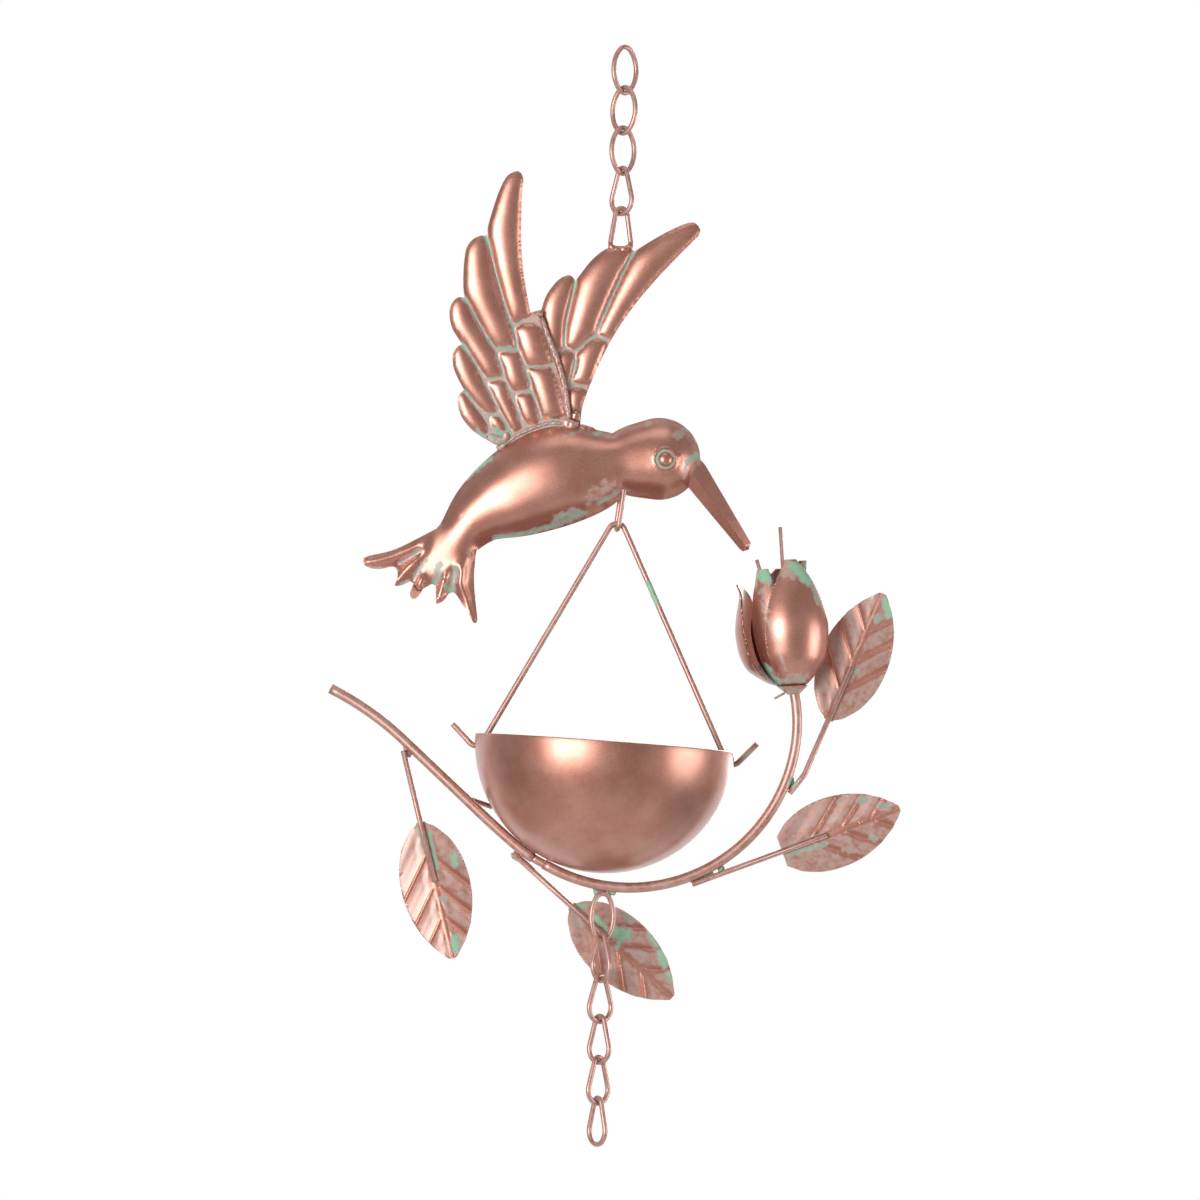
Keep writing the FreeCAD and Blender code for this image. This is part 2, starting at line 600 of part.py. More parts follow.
def bowl():
    """A thin half sphere with a hook hole at each side, tipped as it hangs."""
    shell = Part.makeSphere(BOWL_RADIUS, V(0, 0, 0), V(0, 0, 1), -90, 0, 360)
    shell = shell.cut(Part.makeSphere(BOWL_RADIUS - BOWL_WALL))
    drop = HOOK_DROP + BOWL_HOLE / 2 - BAIL_WIRE / 2 - LINK_GAP
    start = V(-1.5 * BOWL_RADIUS, 0, -drop)
    shell = shell.cut(Part.makeCylinder(BOWL_HOLE / 2, 3 * BOWL_RADIUS, start, V(1, 0, 0)))
    shell.rotate(V(0, 0, 0), V(0, 1, 0), BOWL_TILT)
    shell.translate(bowl_centre())
    return shell


# Branch
def rod_point(angle, stand_off):
    """Centre of the rod at an angle, clear of the bowl by a stand-off."""
    at = polar(bowl_centre(), angle, BOWL_RADIUS + ROD / 2 + TOUCH + stand_off)
    return at.add(V(0, -BRANCH_FORWARD, 0))


def left_rod_edges():
    points = [rod_point(*row) for row in LEFT_ROD]
    a = math.radians(LEFT_ROD[0][0])
    heading = flat(math.sin(a), -math.cos(a))
    edges = []
    for start, end in zip(points, points[1:]):
        edge, heading = arc_on(start, heading, end)
        edges.append(edge)
    return edges


def right_rod_edges():
    turn = rod_point(*RIGHT_ROD_TURN)
    sweep = Part.Arc(rod_point(*RIGHT_ROD_START), rod_point(*RIGHT_ROD_MIDDLE), turn).toShape()
    tangent = sweep.tangentAt(sweep.LastParameter)
    rise, _ = arc_on(turn, tangent, rod_point(*RIGHT_ROD_END))
    return [sweep, rise]


def rod_joint(left, right):
    """The short brazed piece that joins the two rods' ends under the bowl."""
    (a, _), (b, _) = LEFT_ROD[0], RIGHT_ROD_START
    arc = Part.Arc(rod_point(a, 0), rod_point((a + b) / 2, 0), rod_point(b, 0)).toShape()
    return wire_along([arc], ROD_JOINT).cut(left).cut(right)


def on_rod(edges, angle):
    """Centre of a rod where it crosses a polar angle about the bowl."""
    centre = bowl_centre()
    ray = Part.makeLine(centre, polar(centre, angle, 4 * BOWL_RADIUS))
    best = None
    for edge in edges:
        near = ray.distToShape(edge)
        if best is None or near[0] < best[0]:
            best = (near[0], near[1][0][1])
    return best[1]


def away(edges, angle, distance):
    """A point beside the rod, on the side away from the bowl."""
    at = on_rod(edges, angle)
    along = on_rod(edges, angle + 0.5).sub(on_rod(edges, angle - 0.5)).normalize()
    out = V(-along.z, 0, along.x)
    if out.dot(at.sub(bowl_centre())) < 0:
        out = out * -1
    return at.add(out * distance)


def brace(edges):
    """A short wire behind the left rod that props it off the bowl."""
    at = on_rod(edges, BRACE_ANGLE)
    start = at.add(V(0, ROD / 2 + BRACE_WIRE / 2 + TOUCH, 0))
    angle, back = BRACE_FOOT
    reach = math.sqrt((BOWL_RADIUS + BRACE_WIRE / 2 + TOUCH) ** 2 - back ** 2)
    foot = polar(bowl_centre(), angle, reach)
    return straight_wire([start, V(foot.x, back, foot.z)], BRACE_WIRE, 1.0)


# Leaves
def leaf_blade(base, along, length, width, trim):
    """A pleated blade whose near face lies on the midrib line from base along a direction."""
    side = V(along.z, 0, -along.x).normalize()
    depth = V(0, 1, 0)
    rows_near = []
    rows_far = []
    for i in range(37):
        s = trim + (1 - trim) * i / 36
        half = width / 2 * max(lookup(LEAF_PROFILE, s), 0.05)
        near = []
        for j in range(21):
            t = -1 + 2 * j / 20
            across = abs(t) * half
            phase = (s * length - across * LEAF_SWEEP + LEAF_VEIN_OFFSET) / LEAF_VEIN_PITCH
            fade = min(1.0, max(0.0, (across - 1.6) / 2.4))
            pleat = LEAF_PLEAT * fade * (1 - math.cos(2 * math.pi * phase)) / 2
            bow = LEAF_BOW * (across / (width / 2)) ** 2 * fade
            near.append(base.add(along * (s * length)).add(side * (t * half)).add(depth * (bow + pleat)))
        rows_near.append(near)
        rows_far.append([p.add(depth * LEAF_SHEET) for p in near])
    return skin(rows_near, rows_far)


def leaf(name, points, length, width, overlap, trim):
    """A stem wire and the blade behind its last run."""
    stem = straight_wire(points, STEM, STEM_BEND)
    along = points[-1].sub(points[-2]).normalize()
    base = points[-1].sub(along * overlap).add(V(0, STEM / 2 + TOUCH, 0))
    return {name + "_stem": stem, name + "_blade": leaf_blade(base, along, length, width, trim)}


def leaves(left, right):
    reach = ROD / 2 + STEM / 2 + TOUCH
    rods = {"left": left, "right": right}
    out = {}
    for name, rod, angle, turns, *form in LEAVES:
        foot = away(rods[rod], angle, reach)
        out.update(leaf(name, [foot] + [foot.add(V(*turn)) for turn in turns], *form))
    return out


# Flower
def petal(azimuth, layer, heights, radii, spans):
    """A petal on the side of the bud, in the bud's own frame with the stalk below."""
    outer = []
    inner = []
    for i in range(15):
        step = i / 14 * (len(heights) - 1)
        height, radius, span = (lookup(list(enumerate(row)), step) for row in (heights, radii, spans))
        lift = layer * PETAL_LAYER * min(1.0, step / 2)
        tuck = PETAL_TUCK * min(1.0, step / 2) if layer == 0 else 0.0
        near = []
        far = []
        for j in range(11):
            t = -1 + j / 5
            a = math.radians(azimuth + span * t)
            big = radius + lift - tuck * t * t
            small = big - PETAL_SHEET
            near.append(V(big * math.sin(a), -big * math.cos(a), height))
            far.append(V(small * math.sin(a), -small * math.cos(a), height))
        outer.append(near)
        inner.append(far)
    return skin(outer, inner)


def flower(right):
    """Bud of four petals and one opened petal on a cup, with two stamens and a binding wire."""
    low, high, tall = FLOWER_BASE
    top = rod_point(*RIGHT_ROD_END)
    cup = Part.makeCone(low, high, tall)
    out = {"flower_base": cup}
    for name, *form in PETALS:
        blade = petal(*form)
        blade.translate(V(0, 0, tall + TOUCH))
        out[name] = blade
    for name, points in (("stamen_short", SHORT_STAMEN), ("stamen_long", LONG_STAMEN)):
        out[name] = straight_wire([V(*p) for p in points], STAMEN_WIRE, 12.0).cut(cup)
    run = [V(*p).add(V(-low, 0, 0)) for p in BINDING_RUN]
    out["binding_wire"] = straight_wire(run, BINDING_WIRE, 1.0)
    for shape in out.values():
        shape.translate(V(0, 0, -FLOWER_SINK))
        shape.rotate(V(0, 0, 0), V(0, -1, 0), FLOWER_LEAN)
        shape.translate(top)
    rod = wire_along(right, ROD)
    for name in ("flower_base", "stamen_short", "stamen_long"):
        out[name] = out[name].cut(rod)
    return out


def hanging_parts():
    """All pieces below the upper chain, drawn in place."""
    left = left_rod_edges()
    right = right_rod_edges()
    parts = {"breast_eye": breast_eye(), "bail": bail(), "bowl": bowl()}
    parts["branch_left"] = wire_along(left, ROD)
    parts["branch_right"] = wire_along(right, ROD)
    parts["branch_joint"] = rod_joint(parts["branch_left"], parts["branch_right"])
    parts["branch_brace"] = brace(left)
    parts.update(leaves(left, right))
    parts.update(flower(right))
    link_top = on_rod(right, BRANCH_LINK_ANGLE).add(V(0, 0, -ROD / 2 - 3 * TOUCH))
    parts.update(chain(LOWER_LINKS, link_top))
    return parts


def bird_parts():
    """The bird's two halves, slotted for its wings and its eye."""
    front = wing(FRONT_FEATHERS, FRONT_WING_LOBES, FRONT_WING_Y, FRONT_WING_LEAN)
    rear = wing(REAR_FEATHERS, REAR_WING_LOBES, REAR_WING_Y, rear_lean())
    staple = breast_eye()
    halves = {}
    for name, is_rear in (("bird_front_half", False), ("bird_rear_half", True)):
        half = bird_half(is_rear).cut(front).cut(rear).cut(staple)
        halves[name] = max(half.Solids, key=lambda s: s.Volume)
    return dict(halves, wing_front=front, wing_rear=rear)


def main():
    upper = chain(UPPER_LINKS, V(0, 0, CHAIN_WIRE))
    seat = CHAIN_WIRE - (len(UPPER_LINKS) - 1) * link_pitch() - LINK_LENGTH - BIRD_SEAT_Z
    lower = dict(bird_parts(), **hanging_parts())
    for shape in lower.values():
        shape.translate(V(0, 0, seat))
    for name, shape in dict(upper, **lower).items():
        save(name, shape)


main()
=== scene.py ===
"""Looks of a hummingbird rain chain: copper-effect paint, verdigris, pressed relief and solder."""
import json
import math

import bpy
import numpy as np
from mathutils import Matrix, Vector, geometry

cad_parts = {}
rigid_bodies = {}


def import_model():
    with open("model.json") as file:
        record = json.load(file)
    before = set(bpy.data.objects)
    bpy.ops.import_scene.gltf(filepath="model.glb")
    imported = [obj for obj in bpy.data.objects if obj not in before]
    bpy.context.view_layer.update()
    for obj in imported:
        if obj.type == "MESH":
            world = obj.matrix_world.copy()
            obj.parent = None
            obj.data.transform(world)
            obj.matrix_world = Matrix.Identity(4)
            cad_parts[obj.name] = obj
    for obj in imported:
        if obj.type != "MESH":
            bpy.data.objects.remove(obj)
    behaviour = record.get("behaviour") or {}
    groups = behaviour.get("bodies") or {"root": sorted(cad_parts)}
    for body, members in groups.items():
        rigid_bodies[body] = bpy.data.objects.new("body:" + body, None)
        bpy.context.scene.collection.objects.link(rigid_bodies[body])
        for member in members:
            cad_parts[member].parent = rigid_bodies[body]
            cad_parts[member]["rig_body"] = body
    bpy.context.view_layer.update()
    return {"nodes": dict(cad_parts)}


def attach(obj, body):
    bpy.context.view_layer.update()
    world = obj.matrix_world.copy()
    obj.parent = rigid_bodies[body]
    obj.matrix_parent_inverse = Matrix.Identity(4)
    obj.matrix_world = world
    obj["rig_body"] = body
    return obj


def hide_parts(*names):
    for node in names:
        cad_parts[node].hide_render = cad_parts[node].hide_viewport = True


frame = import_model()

MM = 0.001
# Points closer than this many metres are one
MERGE = 2e-6
# Edges sharper than this many degrees stay sharp
CREASE = 40
# Points this near to an outline stay down when the sheet inside it is raised, in mm
RIM_PIN = 0.05
# Rounds of evening out: film of a feather, film of a lump of solder, body and root of the tail
FILM_ROUNDS = 1000
SOLDER_ROUNDS = 300
BODY_ROUNDS = 30
FLOW_ROUNDS = 60

bl_info = {
    "name": "Rain Chain Looks",
    "version": (1, 0, 0),
    "blender": (4, 5, 0),
    "location": "View3D > Sidebar > Rain Chain",
    "description": "Dresses a hummingbird rain chain in copper paint, verdigris and solder",
    "category": "Object",
}

# Wings: sheet, height of the foot, and each wing's y at the foot with its lean, in mm and degrees
WING_SHEET = 0.7
WING_FOOT_Z = -147.0
WINGS = {
    "wing_front": (-1.5, 7.0),
    "wing_rear": (1.9, 3.78),
}
# Feathers: how far a pillow grows past its outline, half a groove and the rounding at its root, in mm
FEATHER_GROWTH = 0.55
GROOVE = 0.58
ROOT_ROUND = 0.4

# Wing outlines: lobes that meet in notches, x and z in mm
WING_LOBES = {
    "wing_front": (
        ((-34.3, -103.7), (-37.2, -89.0), (-38.5, -75.7), (-38.6, -60.3), (-38.2, -52.3)),
        ((-38.2, -52.3), (-39.2, -50.0), (-41.2, -49.4), (-44.7, -51.5), (-47.8, -58.0), (-50.8, -68.0),
         (-52.2, -74.5)),
        ((-52.2, -74.5), (-54.5, -74.6), (-57.3, -76.1), (-59.6, -79.5), (-60.5, -86.4), (-60.5, -94.1),
         (-60.0, -98.7)),
        ((-60.0, -98.7), (-62.6, -98.6), (-65.0, -101.4), (-65.6, -105.6), (-64.2, -111.0), (-60.4, -116.7)),
        ((-60.4, -116.7), (-62.6, -118.0), (-64.0, -121.7), (-63.1, -127.1), (-59.3, -134.3)),
        ((-59.3, -134.3), (-61.0, -136.0), (-61.7, -138.9), (-60.0, -144.7), (-55.4, -150.1), (-49.3, -153.9),
         (-44.7, -156.2)),
        ((-44.7, -156.2), (-41.0, -156.4), (-33.0, -151.6), (-23.0, -149.0), (-17.5, -149.3)),
        ((-17.5, -149.3), (-19.0, -143.0), (-20.5, -134.5), (-24.0, -124.0), (-28.2, -114.0),
         (-30.4, -106.0)),
        ((-30.4, -106.0), (-32.0, -104.2), (-34.3, -103.7)),
    ),
    "wing_rear": (
        ((-14.0, -149.0), (-13.4, -140.0), (-10.2, -130.1), (-6.4, -120.9), (-1.0, -110.2), (6.7, -98.7),
         (14.4, -89.1), (22.0, -80.7), (30.1, -72.2)),
        ((30.1, -72.2), (30.6, -69.5), (27.8, -67.0), (22.0, -68.8), (13.6, -73.4), (5.5, -78.7)),
        ((5.5, -78.7), (0.5, -76.8), (-5.4, -78.0), (-11.0, -82.5), (-15.5, -88.4), (-17.1, -90.7)),
        ((-17.1, -90.7), (-19.8, -88.6), (-24.2, -90.9), (-28.4, -96.8), (-30.3, -102.9)),
        ((-30.3, -102.9), (-29.0, -112.0), (-24.5, -127.0), (-21.0, -140.0), (-20.5, -149.0)),
        ((-20.5, -149.0), (-17.2, -149.8), (-14.0, -149.0)),
    ),
}

# Feathers: the outline of each pressed pillow, x and z in mm
FEATHERS = {
    "wing_front": (
        ((-38.4, -52.0), (-39.6, -49.9), (-41.8, -49.8), (-44.8, -52.4), (-47.8, -59.0), (-50.4, -69.0),
         (-50.7, -76.0), (-47.1, -89.4), (-43.3, -100.6), (-40.9, -106.4), (-39.7, -107.3), (-38.6, -105.8),
         (-35.1, -104.5), (-37.0, -89.0), (-38.3, -75.7), (-38.4, -60.3)),
        ((-53.6, -75.3), (-56.6, -76.2), (-59.2, -79.8), (-60.1, -86.4), (-60.0, -94.1), (-58.7, -98.4),
         (-54.9, -105.8), (-51.8, -110.8), (-48.2, -116.2), (-46.6, -117.0), (-40.6, -117.2), (-40.4, -114.5),
         (-42.4, -109.5), (-45.4, -101.6), (-48.6, -90.3), (-51.9, -77.2)),
        ((-60.6, -99.6), (-62.6, -99.1), (-64.7, -101.8), (-65.1, -105.6), (-63.6, -110.6), (-60.4, -114.8),
         (-57.8, -118.2), (-55.0, -122.0), (-52.2, -126.0), (-50.2, -128.4), (-45.6, -128.2), (-45.2, -126.8),
         (-47.4, -122.0), (-49.2, -118.0), (-51.2, -114.8), (-53.8, -111.0),
         (-56.2, -106.8), (-59.4, -100.6)),
        ((-60.6, -117.5), (-62.4, -118.8), (-63.5, -122.0), (-62.6, -127.0), (-60.0, -132.4), (-57.0, -135.8),
         (-53.4, -139.4), (-50.0, -142.0), (-47.4, -142.2), (-47.6, -140.0), (-50.2, -136.0), (-52.4, -132.0),
         (-54.4, -128.2), (-56.8, -124.0), (-59.0, -120.2)),
        ((-59.6, -135.8), (-60.9, -137.0), (-61.2, -139.4), (-59.4, -144.6), (-56.0, -148.4), (-52.2, -151.0),
         (-50.8, -150.2), (-50.6, -148.6), (-53.6, -144.0), (-56.8, -139.8)),
        ((-39.4, -110.4), (-37.0, -108.8), (-33.4, -108.8), (-31.0, -110.2), (-29.4, -114.5), (-27.4, -119.5),
         (-26.4, -122.6), (-29.6, -123.6), (-34.8, -123.4), (-36.6, -119.5), (-38.4, -115.0)),
        ((-34.6, -125.8), (-30.6, -125.4), (-26.6, -125.2), (-24.2, -131.0), (-22.4, -137.0), (-21.0, -142.6),
         (-24.0, -144.2), (-28.4, -144.0), (-30.6, -137.4), (-32.6, -131.2)),
        ((-45.4, -120.4), (-42.6, -119.6), (-39.2, -119.8), (-37.0, -125.0), (-34.6, -131.6), (-36.0, -133.2),
         (-40.6, -133.0), (-43.0, -128.2)),
        ((-38.4, -136.6), (-36.6, -135.8), (-33.8, -135.8), (-32.4, -138.0), (-30.2, -144.2), (-31.4, -145.8),
         (-34.2, -146.0), (-36.4, -142.6)),
        ((-49.4, -131.8), (-46.6, -131.0), (-43.8, -131.4), (-42.0, -137.2), (-39.2, -143.4), (-37.8, -148.4),
         (-39.2, -149.2), (-41.4, -146.6), (-44.6, -141.0)),
        ((-48.2, -145.2), (-46.2, -144.8), (-44.0, -147.4), (-43.6, -149.2), (-45.2, -149.4),
         (-47.6, -147.6)),
    ),
    "wing_rear": (
        ((29.8, -72.0), (30.2, -69.6), (27.7, -67.5), (22.0, -69.3), (13.8, -73.8), (6.0, -79.8),
         (2.0, -86.8), (-2.5, -97.2), (-6.6, -107.4), (-7.4, -110.4), (-4.4, -112.0), (-1.0, -110.4),
         (6.5, -98.9), (14.2, -89.3), (21.8, -80.9)),
        ((4.2, -79.2), (0.4, -77.4), (-5.2, -78.5), (-10.7, -82.8), (-15.2, -88.6), (-16.5, -91.6),
         (-18.2, -100.2), (-19.5, -108.0), (-19.6, -115.4), (-17.6, -116.6), (-15.0, -115.6), (-12.6, -112.8),
         (-9.4, -110.4), (-8.3, -107.6), (-4.2, -97.2), (0.4, -86.6)),
        ((-17.9, -91.6), (-20.0, -89.2), (-24.0, -91.4), (-28.1, -97.1), (-29.9, -102.9), (-28.8, -111.4),
         (-26.2, -118.8), (-24.8, -119.6), (-22.2, -116.6), (-21.6, -108.0), (-19.9, -100.2)),
        ((-23.4, -121.6), (-22.4, -119.6), (-20.2, -118.4), (-17.8, -119.4), (-17.0, -122.0), (-17.8, -126.6),
         (-19.8, -131.4), (-21.8, -127.0)),
        ((-15.4, -119.4), (-12.4, -115.6), (-9.0, -113.6), (-5.4, -114.6), (-7.2, -120.0), (-10.8, -129.4),
         (-13.0, -130.2), (-17.4, -129.2), (-16.2, -124.0)),
        ((-18.2, -134.0), (-17.2, -133.0), (-13.6, -133.2), (-12.6, -134.4), (-14.0, -141.0), (-17.2, -141.0),
         (-18.6, -138.0)),
    ),
}

# Leaves: veins as they run in the solids, where the midrib starts to show and the bow of a panel, in mm
LEAF_VEIN_PITCH = 12.6
LEAF_VEIN_OFFSET = 0.8
LEAF_SWEEP = 1.25
LEAF_VEINS = 3
VEIN_WIDTH = 0.42
RIB_WIDTH = 0.45
RIB_START = 18.0
RIB_RUN = 6.0
PANEL_WIDTH = 1.3
# Haze on a leaf's veins, and how much more of it lies on the panels
LEAF_CLEAN = 0.04
LEAF_HAZE = 0.4
PETALS = ("petal_front", "petal_left", "petal_right", "petal_back", "petal_outer")

# Stains: places where verdigris sits, as x0, z0, x1, z1, half width in mm and strength
WING_STAINS = (
    (-60.4, -116.8, -58.8, -118.6, 0.6, 0.9), (-60.2, -98.8, -58.6, -100.6, 0.6, 0.9),
    (-52.4, -74.8, -51.4, -77.6, 0.5, 0.9), (-59.4, -134.4, -57.8, -136.0, 0.5, 0.8),
    (-46.6, -149.6, -44.6, -150.8, 0.9, 0.9), (-25.8, -145.2, -23.4, -145.0, 0.5, 0.9),
    (-16.8, -141.6, -16.6, -142.0, 0.5, 0.9), (-54.0, -149.8, -50.6, -152.6, 0.5, 0.8),
    (-17.4, -91.2, -17.6, -94.0, 0.5, 0.9), (5.0, -79.2, 3.0, -82.6, 0.5, 0.9),
    (-41.6, -117.4, -46.0, -117.6, 0.5, 0.8),
)
BIRD_STAINS = (
    (-53.0, -163.6, -57.4, -167.6, 1.1, 0.95),
    (-46.0, -191.4, -36.0, -190.0, 0.7, 0.85), (-36.0, -190.0, -23.0, -186.2, 0.7, 0.85),
    (-23.0, -186.2, -11.0, -180.8, 0.6, 0.8), (-21.6, -184.0, -15.0, -181.4, 1.7, 0.7),
    (-9.0, -175.6, -4.0, -171.0, 2.2, 0.44), (-4.0, -169.6, 4.0, -172.8, 1.5, 0.42),
    (-6.0, -177.4, 2.0, -172.6, 0.5, 0.8), (-48.4, -161.0, -53.0, -163.6, 0.8, 0.9),
    (27.2, -146.8, 27.6, -147.4, 0.9, 0.85), (23.6, -150.4, 25.0, -149.4, 1.6, 0.5),
    (12.0, -145.6, 13.0, -145.4, 0.8, 0.6), (-9.4, -148.0, -7.4, -149.6, 1.0, 1.0),
    (-46.0, -156.0, -36.0, -149.4, 0.9, 0.8), (-36.0, -149.4, -26.0, -146.4, 0.9, 0.8),
    (-26.0, -146.4, -16.0, -146.8, 0.8, 0.7), (-14.0, -149.4, -20.0, -152.2, 0.7, 0.5),
    (31.8, -157.2, 27.8, -160.6, 0.75, 1.0), (27.6, -160.6, 26.6, -166.6, 0.5, 0.62),
    (-74.9, -196.9, -82.6, -202.2, 0.75, 0.68), (-72.2, -200.6, -76.6, -207.6, 0.8, 0.66),
    (-67.0, -202.2, -68.6, -209.6, 1.2, 0.68), (-60.7, -204.6, -62.3, -211.8, 1.3, 0.68),
    (-64.4, -211.2, -62.2, -212.4, 0.9, 0.95), (-84.0, -204.4, -95.0, -204.2, 0.5, 0.6),
    (-78.6, -208.8, -82.0, -210.4, 0.5, 0.6), (-55.4, -198.0, -55.2, -207.0, 0.35, 0.5),
)
PETAL_STAINS = (
    (69.0, -199.6, 75.4, -205.6, 1.3, 1.0), (71.4, -200.6, 71.8, -202.0, 1.6, 0.9),
    (57.4, -203.4, 59.6, -204.2, 1.9, 1.0), (66.0, -202.6, 70.0, -203.4, 1.6, 0.5),
    (57.4, -208.0, 60.6, -222.0, 1.2, 0.44), (60.6, -222.0, 67.4, -240.0, 0.5, 0.5),
    (59.0, -239.0, 64.4, -244.6, 1.3, 0.8), (69.0, -243.0, 76.0, -242.4, 1.1, 0.5),
    (66.0, -244.4, 75.0, -244.0, 0.6, 0.78), (77.0, -206.6, 79.4, -214.0, 0.6, 0.66),
    (74.6, -199.0, 75.4, -204.0, 0.9, 0.8),
)
LEAF_STAINS = {
    "leaf_left_blade": ((-68.6, -306.0, -65.0, -320.0, 0.6, 0.9), (-72.6, -304.0, -70.6, -312.0, 0.7, 0.75),
                        (-58.7, -314.8, -58.2, -317.8, 1.2, 0.9), (-57.2, -347.4, -57.0, -350.6, 1.5, 0.9),
                        (-62.6, -331.6, -62.0, -332.4, 1.1, 0.7), (-74.0, -303.6, -74.4, -304.4, 0.8, 0.7)),
    "leaf_low_blade": ((5.0, -343.4, 8.4, -343.8, 2.0, 1.0), (6.4, -346.4, 5.4, -349.0, 0.6, 0.9),
                       (-4.0, -337.0, 1.0, -341.6, 0.8, 0.95), (-10.0, -332.8, -7.6, -333.4, 1.0, 0.8),
                       (8.0, -336.4, 11.0, -338.6, 0.9, 0.75), (18.4, -343.4, 20.6, -347.0, 1.5, 0.85),
                       (22.6, -351.4, 24.0, -354.6, 1.5, 0.9), (25.6, -359.0, 26.6, -361.4, 1.0, 0.8),
                       (9.0, -350.0, 16.0, -350.8, 0.5, 0.6), (-12.6, -334.0, -9.0, -340.0, 1.4, 0.55)),
    "leaf_right_blade": ((69.0, -309.4, 84.0, -303.6, 0.9, 0.8), (70.6, -311.4, 85.4, -306.6, 0.8, 0.8),
                         (90.0, -290.0, 91.0, -289.6, 0.8, 0.7), (98.0, -290.0, 100.4, -289.4, 1.2, 0.75),
                         (106.0, -291.6, 108.6, -291.8, 1.2, 0.7),
                         (103.0, -303.6, 104.4, -304.0, 1.0, 0.75), (92.0, -308.6, 96.0, -309.6, 0.8, 0.6)),
    "leaf_top_blade": ((106.4, -212.0, 107.6, -217.0, 1.2, 1.0), (103.0, -219.0, 104.4, -218.0, 1.2, 0.7),
                       (93.4, -240.6, 88.0, -250.0, 0.7, 0.8), (93.0, -239.8, 95.6, -239.2, 0.9, 0.8),
                       (82.6, -236.0, 81.6, -246.0, 1.0, 0.5)),
}
# Stains on wire, as x, y, z, radius in mm and strength
WIRE_STAINS = (
    (13.4, 0.0, -210.0, 4.0, 0.8), (15.6, 0.0, -214.4, 3.4, 0.9), (10.0, 0.0, -203.0, 2.4, 0.5),
    (-19.0, 0.0, -222.0, 3.0, 0.4), (57.6, 0.0, -276.4, 6.0, 1.1), (52.6, 0.0, -279.4, 3.0, 0.8),
    (-58.0, 0.0, -270.0, 2.4, 0.4), (71.0, -4.0, -246.6, 3.0, 0.6), (65.0, -4.0, -246.0, 3.0, 0.7),
    (71.6, -2.0, -283.0, 2.6, 0.7), (-36.0, 0.0, -309.0, 2.2, 0.7), (-31.0, 0.0, -313.6, 2.0, 0.7),
)
# Bird: discs along the spine as x, z, radius and height, beak sections as top, ridge and bottom, in mm
SHEET = 0.8
BIRD_SPACING = 0.7
BODY_DISCS = (
    (-70.0, -203.0, 7.0, 1.2), (-65.0, -197.0, 8.2, 2.4), (-59.4, -190.5, 8.8, 4.6),
    (-50.1, -180.3, 12.6, 8.3), (-36.4, -172.7, 17.8, 11.2), (-22.9, -166.5, 20.0, 12.4),
    (-10.6, -164.6, 16.4, 11.2), (0.6, -161.2, 11.7, 9.6), (9.0, -160.0, 14.2, 9.8),
    (17.3, -159.1, 16.0, 10.4),
)
BEAK_SECTIONS = (
    ((31.6, -157.4), (27.6, -162.8, 5.0), (26.4, -167.8)),
    ((35.0, -161.2), (31.0, -166.4, 4.6), (29.4, -170.9)),
    ((53.4, -191.0), (50.8, -191.6, 1.7), (48.9, -193.2)),
    ((52.5, -193.5), (51.6, -193.3, 0.7), (50.3, -194.3)),
)
# Eye: centre, radius of the bead and of the ring, and how far bead, ring and lip rise or sink, in mm
EYE_CENTRE = (19.3, -159.9)
EYE_BEAD = 2.7
EYE_RIM = 4.0
EYE_RISE = 1.5
EYE_SINK = 0.7
EYE_LIP = 0.25
# Tail: height at its rim, height of a ridge, where the ridges fade out, and depth of a slot, in mm
TAIL_BASE = 1.35
TAIL_RIDGE = 1.6
TAIL_ROOT = (-60.0, -190.0)
RIDGE_FADE = 7.0
SLOT_DEPTH = 0.8
# Palm of the tail: where it starts to rise towards the body, how far, how steeply, and its rim, in mm
PALM_START = -80.0
PALM_RUN = 22.0
PALM_SLOPE = 0.14
PALM_RIM = 6.0
# Root of the tail: where the body starts to flow into the palm, and over what length, in mm
FLOW_START = -40.0
FLOW_RUN = 14.0
# Tail: outline, ridge of each feather as x, z and half width, slots as x0, z0, x1, z1 and half width, in mm
TAIL_LOBES = (
    ((-56, -186), (-62, -182.5), (-65.2, -184.5), (-68.7, -188.5)),
    ((-68.7, -188.5), (-76.4, -192.8), (-85.2, -197.2), (-95.1, -199.9), (-96.8, -201.8), (-95.1, -203.9),
     (-90.5, -204.6), (-85.2, -203.5), (-83.4, -205.0)),
    ((-83.4, -205.0), (-83.2, -207.5), (-84.3, -211.0)),
    ((-84.3, -211.0), (-81.5, -210.6), (-78.4, -209.0)),
    ((-78.4, -209.0), (-76.7, -210.2), (-75.0, -212.4), (-72.6, -211.4), (-70.3, -210.0)),
    ((-70.3, -210.0), (-68.6, -210.4), (-68.2, -213.0), (-68.0, -217.6)),
    ((-68.0, -217.6), (-65.3, -216.3), (-63.0, -213.4), (-61.5, -213.0), (-59.9, -214.4), (-56.0, -220.4),
     (-53.2, -224.6), (-51.9, -223.6), (-52.4, -219.1), (-53.5, -209.2), (-53.3, -200.4), (-52.7, -196.0)),
    ((-52.7, -196.0), (-51.5, -191.0), (-56, -186)),
)
REAR_TIP = (
    ((-71.0, -206.0), (-74.0, -213.2), (-76.4, -215.8), (-78.0, -215.2), (-78.0, -212.6), (-75.0, -206.6),
     (-71.0, -206.0)),
)
